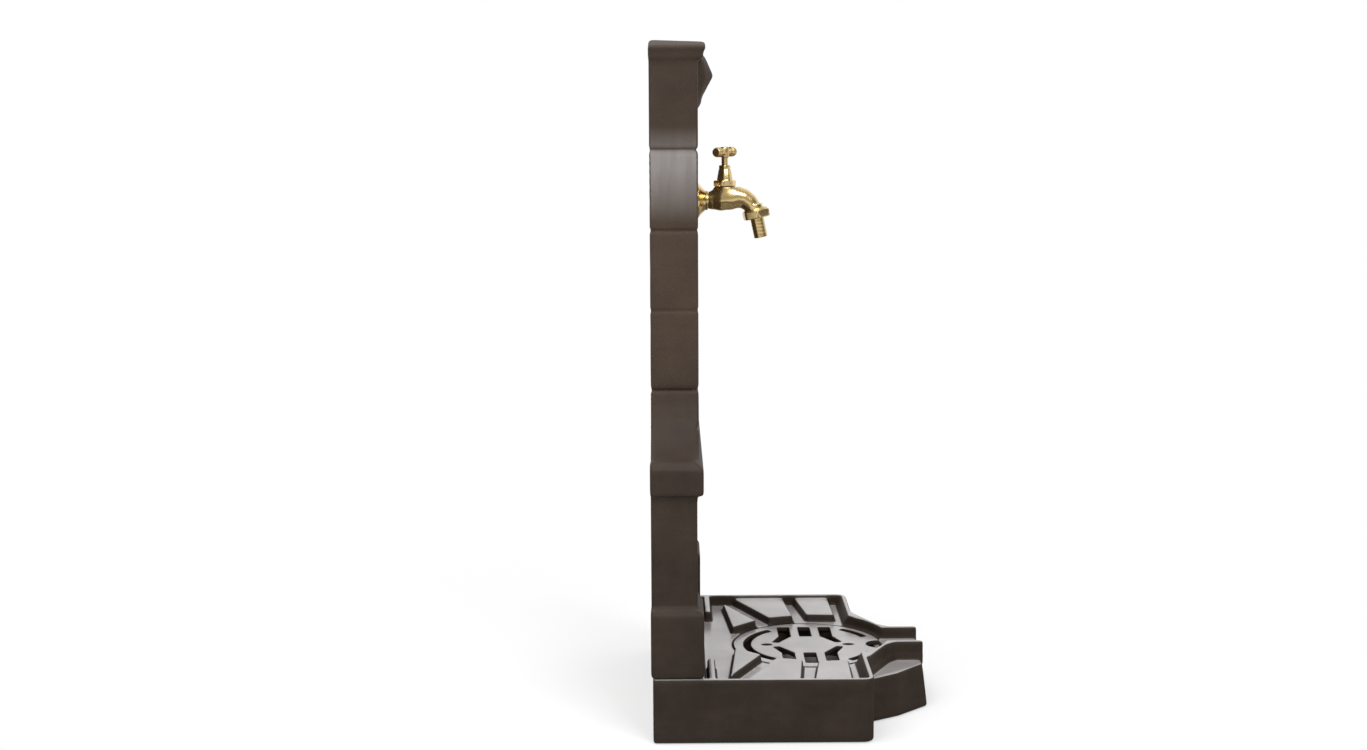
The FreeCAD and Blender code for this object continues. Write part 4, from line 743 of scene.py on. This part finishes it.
class FOUNTAIN_OT_tap_casting(bpy.types.Operator):
    """Model the tap's casting: neck, belly, tower and spout, blended into one another"""
    bl_idname = "fountain.tap_casting"
    bl_label = "Tap casting"

    def execute(self, context):
        clay = Clay((-64.0, -18.0, -30.0), (54.0, 18.0, 22.0), 0.5)
        for first, second in zip(SPOUT_LINE, SPOUT_LINE[1:]):
            clay.add(clay.limb((first[0], 0.0, first[1]), (second[0], 0.0, second[1]),
                               first[2], second[2]), 2.5)
        start = (UNION_MIDDLE - UNION_AXIS * UNION_REACH) - on_tap_axis(TAP_LEVEL)
        spout_end = numpy.array((-start.y, 0.0, start.z)) / MM
        axis = numpy.array((-UNION_AXIS.y, 0.0, UNION_AXIS.z))
        top = (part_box("bonnet_washer")[0].z - TAP_LEVEL) / MM
        clay.add(clay.drum((0.0, 0.0, 0.0), (0.0, 0.0, top), TOWER_FOOT, TOWER_TOP, 0.5), 8.0)
        clay.add(clay.drum(spout_end - axis * 5.0, spout_end, SPOUT_START, SPOUT_END, 0.3), 3.0)
        clay.carve(clay.drum((0.0, 0.0, top), (0.0, 0.0, top + 8.0), 30.0, edge=0.0))
        wall = (TAP_AXIS.y - WALL) / MM
        face = wall + (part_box("tap_rosette")[1].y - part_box("tap_rosette")[0].y) / MM
        clay.add(clay.drum((face, 0.0, 0.0), (face + 2.6, 0.0, 0.0), COLLAR, edge=0.7), 0.6)
        clay.add(clay.drum((wall - TAIL_REACH, 0.0, 0.0), (face + 1.0, 0.0, 0.0), TAIL))
        clay.add(clay.drum(spout_end - axis * 0.5, spout_end + axis * 6.4, SPOUT_THREAD))
        clay.carve(clay.drum(spout_end - axis * 5.0, spout_end + axis * 8.0, SPOUT_WAY))
        clay.carve(clay.drum((wall - 30.0, 0.0, -TAIL_WAY_DROP),
                             (wall - 10.0, 0.0, -TAIL_WAY_DROP), TAIL_WAY))
        seat = (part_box("valve_washer")[0].z - TAP_LEVEL) / MM
        clay.carve(clay.drum((0.0, 0.0, seat), (0.0, 0.0, top + 3.0), CHAMBER, edge=0.1))
        clay.carve(clay.drum((0.0, 0.0, seat - 3.0), (0.0, 0.0, seat + 1.0), SEAT_HOLE))
        finish_piece("tap_casting", clay.skin(tap_place()), "tap_brass", "root", "tap_body",
                     50.0)
        return {"FINISHED"}


class FOUNTAIN_OT_tap_head(bpy.types.Operator):
    """Model the rosette, the bonnet with its hexagon, and the gland nut"""
    bl_idname = "fountain.tap_head"
    bl_label = "Tap head and rosette"

    def execute(self, context):
        place = along_axis(Vector((TAP_AXIS.x, WALL, TAP_LEVEL)), FRONT)
        rows = [(0.0, 10.6), (0.0, 21.0), (0.9, 21.0), (1.5, 20.6), (3.2, 18.4), (5.2, 16.0),
                (7.4, 13.7), (9.2, 12.1), (9.8, 11.7), (10.0, 11.3), (10.0, 10.6), (0.0, 10.6)]
        finish_piece("rosette", turned(rows, place, 96), "tap_brass", "root", "tap_rosette", 40.0)

        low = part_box("tap_bonnet")[0].z
        seat = (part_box("bonnet_washer")[1].z - low) / MM
        top = (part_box("tap_bonnet")[1].z - low) / MM
        place = along_axis(on_tap_axis(low), UP, 12.0)
        hexagon = seat + 7.0
        rows = [(0.0, 5.8), (0.0, 9.4), (seat, 9.4), (seat, 12.6, 11.6, 6),
                (seat + 0.9, 13.7, 12.0, 6), (hexagon - 1.1, 13.7, 12.0, 6),
                (hexagon - 0.2, 12.4, 12.0, 6), (hexagon, 11.6), (hexagon + 0.1, 9.6),
                (hexagon + 1.0, 9.2), (hexagon + 1.2, 9.4, 8.8, 8), (top - 0.7, 7.4, 7.0, 8),
                (top, 6.9, 6.6, 8), (top, 5.65), (top - 5.0, 5.65), (top - 5.0, 4.2),
                (top - 6.0, 4.2), (top - 6.0, 5.8), (0.0, 5.8)]
        finish_piece("bonnet", turned(rows, place, 96), "tap_brass", "root", "tap_bonnet", 22.0)

        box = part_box("gland_nut")
        low = box[0].z
        height = (box[1].z - low) / MM
        place = along_axis(on_tap_axis(low), UP, 20.0)
        nose = height - 5.0
        rows = [(0.0, 4.1), (0.0, 5.5), (nose, 5.5), (nose, 6.5, 6.3, 6),
                (nose + 0.5, 7.3, 6.4, 6), (height - 0.9, 7.3, 6.4, 6), (height - 0.2, 6.4, 6.2, 6),
                (height, 5.6), (height, 4.1), (0.0, 4.1)]
        finish_piece("gland", turned(rows, place), "tap_brass", "root", "gland_nut", 25.0)
        return {"FINISHED"}


# the handle in millimetres: its arms' height over its foot, the arms' radius, the knobs'
# radius, start and end, the ribs' radius, half width and places, and the spindle's bore
ARM_HEIGHT = 6.5
ARM = 3.7
KNOB = 5.35
KNOB_START = 12.8
KNOB_END = 22.0
RIB = 5.85
RIB_HALF = 0.8
RIB_PLACES = (14.4, 16.5, 18.6)
HANDLE_BORE = 3.15

# the spindle in millimetres: the radii of the thread's crests and roots and of the stem, the
# pitch, and the radius and depth of the bore that holds the jumper
CREST = 5.7
ROOT = 5.15
STEM = 3.85
PITCH = 2.0
JUMPER_BORE = 2.46
JUMPER_DEPTH = 8.1


class FOUNTAIN_OT_handle(bpy.types.Operator):
    """Model the T handle, its screw and the spindle"""
    bl_idname = "fountain.handle"
    bl_label = "Handle and spindle"

    handle_turn: FloatProperty(
        name="Turn", description="Turn of the handle at rest", subtype="ANGLE",
        default=math.radians(-30.0))

    def execute(self, context):
        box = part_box("tap_handle")
        middle = on_tap_axis(box[0].z + ARM_HEIGHT * MM)
        place = Matrix.Translation(middle) @ Matrix.Rotation(self.handle_turn, 4, "Z")
        clay = Clay((-24.0, -8.0, -8.0), (24.0, 8.0, 8.0), 0.3)
        clay.add(clay.drum((0.0, 0.0, -ARM_HEIGHT), (0.0, 0.0, 6.0), 5.3, 5.0, 0.9))
        clay.add(clay.limb((-14.0, 0.0, 0.0), (14.0, 0.0, 0.0), ARM, ARM), 2.2)
        for sign in (-1.0, 1.0):
            clay.add(clay.drum((KNOB_START * sign, 0.0, 0.0), (KNOB_END * sign, 0.0, 0.0),
                               KNOB, edge=1.6), 0.5)
            for rib in RIB_PLACES:
                clay.add(clay.drum(((rib - RIB_HALF) * sign, 0.0, 0.0),
                                   ((rib + RIB_HALF) * sign, 0.0, 0.0), RIB, edge=0.6), 0.5)
        clay.carve(clay.drum((0.0, 0.0, 4.5), (0.0, 0.0, 8.0), 3.6, edge=0.1))
        clay.carve(clay.drum((0.0, 0.0, -8.0), (0.0, 0.0, 4.4), HANDLE_BORE, edge=0.1))
        finish_piece("handle_casting", clay.skin(place), "handle_brass", "handle",
                     "tap_handle", 50.0)

        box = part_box("handle_screw")
        height = (box[1].z - box[0].z) / MM
        place = along_axis(on_tap_axis(box[0].z), UP)
        seat = height - 1.5
        rows = [(0.0, 0.0), (0.0, 1.6), (0.4, 2.0), (seat, 2.0), (seat, 3.45), (height - 0.5, 3.45),
                (height - 0.1, 3.0), (height, 2.2), (height, 1.4, 1.25, 6),
                (height - 1.1, 1.4, 1.25, 6), (height - 1.3, 0.0)]
        finish_piece("screw", turned(rows, place, 48), "zinc_steel", "handle", "handle_screw",
                     30.0)

        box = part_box("tap_spindle")
        height = (box[1].z - box[0].z) / MM
        place = along_axis(on_tap_axis(box[0].z), UP)
        shoulder = (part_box("tap_handle")[0].z - box[0].z) / MM
        rows = [(0.0, JUMPER_BORE), (0.0, 5.3), (0.4, CREST)]
        for turn in range(8):
            start = turn * PITCH
            rows += [(0.6 + start, CREST), (1.1 + start, ROOT), (1.6 + start, ROOT),
                     (2.1 + start, CREST)]
        rows += [(16.5, CREST), (16.5, STEM), (shoulder - 0.5, STEM), (shoulder, STEM - 0.4),
                 (shoulder, 3.1), (height, 3.1), (height, 2.05), (height - 5.0, 2.05),
                 (height - 5.0, 0.0)]
        spindle = turned(rows, place)
        turned([(0.0, JUMPER_BORE), (JUMPER_DEPTH, JUMPER_BORE), (JUMPER_DEPTH, 0.0)], place,
               bm=spindle)
        bmesh.ops.remove_doubles(spindle, verts=spindle.verts, dist=WELD_GAP)
        bmesh.ops.recalc_face_normals(spindle, faces=spindle.faces)
        finish_piece("spindle", spindle, "spindle_brass", "handle", "tap_spindle", 30.0)
        return {"FINISHED"}


# the faint rings of the hose tail in millimetres: the first one's place, their spacing and
# number, and the tail's radius
FIRST_RING = 12.5
RING_SPACING = 4.2
RING_COUNT = 5
HOSE_TAIL = 8.1


class FOUNTAIN_OT_union(bpy.types.Operator):
    """Model the hose union: its hexagon nut and the tail with faint rings"""
    bl_idname = "fountain.union"
    bl_label = "Hose union"

    def execute(self, context):
        place = along_axis(UNION_MIDDLE - UNION_AXIS * UNION_REACH, UNION_AXIS, 22.0)
        rows = [(0.0, 13.15), (0.0, 13.8), (0.6, 14.4), (1.6, 14.9, 14.7, 6), (2.2, 16.2, 15.0, 6),
                (2.8, 17.1, 15.0, 6), (9.8, 17.1, 15.0, 6), (10.6, 16.2, 14.9, 6),
                (11.0, 15.2, 14.7, 6), (11.0, 8.5), (9.5, 8.25), (9.5, 13.15), (0.0, 13.15)]
        finish_piece("nut_of_union", turned(rows, place, 120), "union_brass", "root",
                     "union_nut", 30.0)
        rows = [(8.05, 5.5), (8.05, 12.5), (9.45, 12.5), (9.5, 8.0)]
        for ring in range(RING_COUNT):
            start = FIRST_RING + ring * RING_SPACING
            rows += [(start, HOSE_TAIL), (start + 0.35, 8.02), (start + 0.7, HOSE_TAIL)]
        rows += [(33.9, HOSE_TAIL), (34.5, 7.5), (34.5, 6.0), (34.0, 5.5), (8.05, 5.5)]
        finish_piece("tail_of_hose", turned(rows, place, 96), "union_brass", "root",
                     "hose_tail", 30.0)
        return {"FINISHED"}


class Recipe:
    """A geometry node tree being written, with named inputs."""

    def __init__(self, name):
        self.tree = bpy.data.node_groups.new(name, "GeometryNodeTree")
        self.tree.interface.new_socket(name="Geometry", in_out="INPUT",
                                       socket_type="NodeSocketGeometry")
        self.tree.interface.new_socket(name="Geometry", in_out="OUTPUT",
                                       socket_type="NodeSocketGeometry")
        self.start = self.tree.nodes.new("NodeGroupInput")
        self.end = self.tree.nodes.new("NodeGroupOutput")

    def need(self, name, kind="NodeSocketFloat"):
        """A named input and its socket inside the tree."""
        self.tree.interface.new_socket(name=name, in_out="INPUT", socket_type=kind)
        return self.start.outputs[name]

    def add(self, kind, settings=None, values=None, out=0):
        return pick(add_node(self.tree, kind, settings, values).outputs, out)

    def join(self, pieces):
        node = self.tree.nodes.new("GeometryNodeJoinGeometry")
        for piece in pieces:
            self.tree.links.new(piece, node.inputs[0])
        return node.outputs[0]

    def finish(self, geometry, material):
        real = self.add("GeometryNodeRealizeInstances", None, {"Geometry": geometry})
        dressed = self.add("GeometryNodeSetMaterial", None, {
            "Geometry": real, "Material": material})
        self.tree.links.new(dressed, self.end.inputs[0])
        return self.tree


def grow(points, tree, sizes, edges=()):
    """The mesh that a geometry node tree makes on some points."""
    mesh = bpy.data.meshes.new("seed")
    mesh.from_pydata(points, edges, [])
    obj = bpy.data.objects.new("seed", mesh)
    bpy.context.scene.collection.objects.link(obj)
    modifier = obj.modifiers.new("grow", "NODES")
    modifier.node_group = tree
    for item in tree.interface.items_tree:
        if item.item_type == "SOCKET" and item.in_out == "INPUT" and item.name in sizes:
            modifier[item.identifier] = sizes[item.name]
    bpy.context.view_layer.update()
    graph = bpy.context.evaluated_depsgraph_get()
    grown = bpy.data.meshes.new_from_object(obj.evaluated_get(graph))
    bm = bmesh.new()
    bm.from_mesh(grown)
    bpy.data.objects.remove(obj)
    bpy.data.meshes.remove(mesh)
    bpy.data.meshes.remove(grown)
    bmesh.ops.remove_doubles(bm, verts=bm.verts, dist=WELD_GAP)
    bmesh.ops.recalc_face_normals(bm, faces=bm.faces)
    return bm


def stud_tree(slot):
    """A head with corners on a round shank, stood on each point."""
    recipe = Recipe("studs of " + slot)
    head_radius = recipe.need("Head radius")
    head_height = recipe.need("Head height")
    corners = recipe.need("Corners", "NodeSocketInt")
    shank_radius = recipe.need("Shank radius")
    shank_length = recipe.need("Shank length")
    turn = recipe.need("Turn", "NodeSocketVector")

    def cylinder(corners, radius, height, sign):
        """A cylinder that stands on its point, or hangs from it."""
        half = recipe.add("ShaderNodeMath", {"operation": "MULTIPLY"}, {0: height, 1: 0.5 * sign})
        middle = recipe.add("ShaderNodeCombineXYZ", None, {"Z": half}, "Vector")
        solid = recipe.add("GeometryNodeMeshCylinder", None, {
            "Vertices": corners, "Radius": radius, "Depth": height}, "Mesh")
        return recipe.add("GeometryNodeTransform", None, {
            "Geometry": solid, "Translation": middle})

    stud = recipe.join([cylinder(corners, head_radius, head_height, 1.0),
                        cylinder(32, shank_radius, shank_length, -1.0)])
    spread = recipe.add("GeometryNodeInstanceOnPoints", None, {
        "Points": recipe.start.outputs["Geometry"], "Instance": stud, "Rotation": turn})
    return recipe.finish(spread, MATERIALS[slot])


def pipe_tree(slot):
    """A tube along the edges of its input."""
    recipe = Recipe("pipe of " + slot)
    radius = recipe.need("Radius")
    line = recipe.add("GeometryNodeMeshToCurve", None, {"Mesh": recipe.start.outputs["Geometry"]})
    ring = recipe.add("GeometryNodeCurvePrimitiveCircle", None, {
        "Resolution": 48, "Radius": radius}, "Curve")
    tube = recipe.add("GeometryNodeCurveToMesh", None, {
        "Curve": line, "Profile Curve": ring, "Fill Caps": True})
    return recipe.finish(tube, MATERIALS[slot])


# the base bolts in millimetres: the head's width over its flats and the shank's radius
BOLT_FLATS = 13.0
BOLT_SHANK = 4.0

# the washers and nuts: name, node, the hole's radius and the profile, in millimetres
RINGS = (
    ("washers", "base_washers", 4.5, ((0.0, 8.2), (0.3, 8.5), (1.3, 8.5), (1.6, 8.1))),
    ("nuts", "base_nuts", 4.05, ((0.0, 6.4, 6.3, 6), (0.8, 7.5, 6.5, 6),
                                 (5.7, 7.5, 6.5, 6), (6.5, 6.4, 6.3, 6))),
)

# the clips' screws in millimetres: the head's radius and height, and the shank's radius
SCREW_HEAD = 3.6
SCREW_HEAD_HEIGHT = 2.0
SCREW_SHANK = 2.0


class FOUNTAIN_OT_fasteners(bpy.types.Operator):
    """Grow the base bolts, their washers and nuts, and the clips' screws"""
    bl_idname = "fountain.fasteners"
    bl_label = "Bolts and screws"

    def execute(self, context):
        boxes = islands("base_bolts")
        head_low = islands("base_washers")[0][1].z
        corner = BOLT_FLATS / math.sqrt(3.0) * MM
        points = [((low.x + high.x) / 2, (low.y + high.y) / 2, head_low) for low, high in boxes]
        low, high = boxes[0]
        bm = grow(points, stud_tree("zinc_steel"), {
            "Head radius": corner, "Head height": high.z - head_low, "Corners": 6,
            "Shank radius": BOLT_SHANK * MM, "Shank length": head_low - low.z})
        bevel_sharp(bm, context.scene.fountain_look.metal_edge, 40.0)
        finish_piece("bolts", bm, "zinc_steel", "root", "base_bolts")

        for name, node, hole, rows in RINGS:
            bm = bmesh.new()
            for low, high in islands(node):
                place = along_axis(Vector(((low.x + high.x) / 2, (low.y + high.y) / 2, low.z)), UP)
                foot = (rows[0][0], hole)
                turned([foot, *rows, (rows[-1][0], hole), foot], place, 48, bm)
            finish_piece(name, bm, "zinc_steel", "root", node)

        boxes = islands("clip_screws")
        points = [((low.x + high.x) / 2, high.y - SCREW_HEAD_HEIGHT * MM, (low.z + high.z) / 2)
                  for low, high in boxes]
        low, high = boxes[0]
        bm = grow(points, stud_tree("zinc_steel"), {
            "Head radius": SCREW_HEAD * MM, "Head height": SCREW_HEAD_HEIGHT * MM,
            "Corners": 24, "Shank radius": SCREW_SHANK * MM,
            "Shank length": high.y - low.y - SCREW_HEAD_HEIGHT * MM,
            "Turn": (math.radians(-90.0), 0.0, 0.0)})
        finish_piece("screws_of_clips", bm, "zinc_steel", "root", "clip_screws")
        return {"FINISHED"}


RISER_STEPS = 12

# the fittings that keep the solids' shapes: name, node, finish, and how far their edges are
# rounded against the metal edge
FITTINGS = (
    ("top_elbow", "supply_elbow", "fitting_brass", 1.2),
    ("low_elbow", "inlet_elbow", "fitting_brass", 1.2),
    ("nipple", "inlet_nipple", "fitting_brass", 0.75),
    ("nut_behind", "tap_back_nut", "fitting_brass", 0.75),
    ("washer_behind", "tap_back_washer", "zinc_steel", 0.45),
    ("clips", "pipe_clips", "zinc_steel", 0.75),
    ("outlet", "waste_body", "drain_plastic", 0.6),
    ("outlet_nut", "waste_nut", "drain_plastic", 0.9),
)


class FOUNTAIN_OT_supply(bpy.types.Operator):
    """Model the riser pipe, and soften the elbows, nipple, clips and back nut"""
    bl_idname = "fountain.supply"
    bl_label = "Supply behind the column"

    def execute(self, context):
        look = context.scene.fountain_look
        low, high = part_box("riser_pipe")
        middle = (low + high) / 2
        points = [(middle.x, middle.y, low.z + (high.z - low.z) * step / RISER_STEPS)
                  for step in range(RISER_STEPS + 1)]
        edges = [(step, step + 1) for step in range(RISER_STEPS)]
        bm = grow(points, pipe_tree("copper_pipe"), {"Radius": (high.x - low.x) / 2}, edges)
        finish_piece("riser", bm, "copper_pipe", "root", "riser_pipe")
        for name, node, slot, share in FITTINGS:
            soft_copy(name, node, share * look.metal_edge, slot)
        return {"FINISHED"}


class FOUNTAIN_OT_inner_parts(bpy.types.Operator):
    """Give the hidden parts that stay as they are their finishes"""
    bl_idname = "fountain.inner_parts"
    bl_label = "Hidden parts"

    def execute(self, context):
        slots = {row["node"]: row["material_slot"] for row in frame["record"]["subparts"]}
        for name, node in frame["nodes"].items():
            node.data.materials.clear()
            node.data.materials.append(MATERIALS[slots[name]])
        return {"FINISHED"}


# the world's light, and what mirrors see of it: everywhere, and added behind the fountain,
# on the camera's side and above
WORLD_LEVEL = 0.62
MIRRORED_LEAST = 0.10
MIRRORED_BEHIND = 0.90
MIRRORED_FACING = 0.30
MIRRORED_ABOVE = 0.45

# the lamps: name, place and the point they shine on in metres, size in metres, power in watts
LAMPS = (
    ("overhead softbox", (-0.5, 0.9, 2.5), (0.0, 0.0, 0.4), (2.0, 2.0), 36.0),
    ("camera side softbox", (-1.6, -0.7, 2.2), (0.0, 0.1, 0.62), (1.0, 0.8), 26.0),
)

# half the floor's side, and its gap under the fountain, in metres
FLOOR_HALF = 14.0
FLOOR_GAP = 0.2 * MM


def area_lamp(name, spot, target, size, power):
    lamp = bpy.data.lights.new(name, "AREA")
    lamp.shape = "RECTANGLE"
    lamp.size, lamp.size_y = size
    lamp.energy = power
    obj = bpy.data.objects.new(name, lamp)
    obj.location = spot
    obj.rotation_euler = (Vector(target) - Vector(spot)).to_track_quat("-Z", "Y").to_euler()
    bpy.context.scene.collection.objects.link(obj)


def studio_world():
    """White behind the fountain, dim on the camera's side, and white for the camera."""
    world = bpy.data.worlds.new("studio")
    bpy.context.scene.world = world
    shade = Shade(world, "ShaderNodeOutputWorld")
    direction = shade.add("ShaderNodeTexCoord", out="Generated")
    across = shade.part(direction, "X")
    rise = shade.part(direction, "Z")
    camera_ray = shade.add("ShaderNodeLightPath", out="Is Camera Ray")
    glossy_ray = shade.add("ShaderNodeLightPath", out="Is Glossy Ray")
    behind = shade.ramp(across * 0.5 + 0.5, (0.52, 0.0), (0.70, 1.0))
    facing = shade.ramp(across * 0.5 + 0.5, (0.10, 1.0), (0.30, 0.0))
    above = shade.ramp(rise, (0.20, 0.0), (0.75, 1.0))
    elsewhere = (MIRRORED_FACING * facing + MIRRORED_ABOVE * above) * (1.0 - behind)
    glossy_level = MIRRORED_LEAST + MIRRORED_BEHIND * behind + elsewhere
    level = WORLD_LEVEL + glossy_ray * (glossy_level - WORLD_LEVEL)
    level = level + camera_ray * (1.0 - level)
    shade.finish(shade.add("ShaderNodeBackground", None, {
        "Color": (1.0, 1.0, 1.0, 1.0), "Strength": level}, "Background"))


def studio_camera():
    """The photograph's own viewpoint, found from the edges of the column and the tray."""
    spot = Vector((-2.220, 0.1424, 0.7271))
    yaw = math.radians(0.39)
    pitch = math.radians(8.38)
    roll = math.radians(0.25)
    focal_pixels = 1850.0
    camera = bpy.data.cameras.new("photo camera")
    camera.sensor_width = 36.0
    camera.lens = focal_pixels / PHOTO_WIDTH * camera.sensor_width
    camera.clip_start = 0.05
    camera.clip_end = 60.0
    obj = bpy.data.objects.new("photo camera", camera)
    forward = Vector((math.cos(yaw) * math.cos(pitch), -math.sin(yaw) * math.cos(pitch),
                      -math.sin(pitch)))
    turn = forward.to_track_quat("-Z", "Y").to_matrix().to_4x4()
    obj.matrix_world = Matrix.Translation(spot) @ turn @ Matrix.Rotation(-roll, 4, "Z")
    bpy.context.scene.collection.objects.link(obj)
    bpy.context.scene.camera = obj


class FOUNTAIN_OT_stage(bpy.types.Operator):
    """Set up the floor, the lamps, the world and the camera"""
    bl_idname = "fountain.stage"
    bl_label = "Studio"

    def execute(self, context):
        bm = bmesh.new()
        bmesh.ops.create_grid(bm, x_segments=1, y_segments=1, size=FLOOR_HALF)
        floor = object_from("floor", bm)
        floor.location.z = CAD_BOX[0][2] - FLOOR_GAP
        floor.data.materials.append(pale_floor("white floor"))
        for lamp in LAMPS:
            area_lamp(*lamp)
        studio_world()
        studio_camera()
        context.scene.view_settings.view_transform = "Standard"
        return {"FINISHED"}


class FOUNTAIN_PT_panel(bpy.types.Panel):
    """Lists the fountain's pieces and finishes"""
    bl_idname = "FOUNTAIN_PT_panel"
    bl_label = "Garden fountain"
    bl_space_type = "VIEW_3D"
    bl_region_type = "UI"
    bl_category = "Fountain"

    def draw(self, context):
        look = context.scene.fountain_look
        for name in FountainLook.__annotations__:
            self.layout.prop(look, name)
        for piece in PIECES:
            self.layout.operator(piece.bl_idname)


PIECES = (FOUNTAIN_OT_column, FOUNTAIN_OT_tray, FOUNTAIN_OT_grate, FOUNTAIN_OT_tap_casting,
          FOUNTAIN_OT_tap_head, FOUNTAIN_OT_handle, FOUNTAIN_OT_union, FOUNTAIN_OT_fasteners,
          FOUNTAIN_OT_supply, FOUNTAIN_OT_inner_parts, FOUNTAIN_OT_stage)
CLASSES = (FountainLook,) + PIECES + (FOUNTAIN_PT_panel,)


def register():
    for cls in CLASSES:
        bpy.utils.register_class(cls)
    bpy.types.Scene.fountain_look = PointerProperty(type=FountainLook)


def unregister():
    del bpy.types.Scene.fountain_look
    for cls in reversed(CLASSES):
        bpy.utils.unregister_class(cls)


def main():
    register()
    make_materials(bpy.context.scene.fountain_look)
    for piece in PIECES:
        group, _, action = piece.bl_idname.partition(".")
        getattr(getattr(bpy.ops, group), action)()


if __name__ == "__main__":
    main()
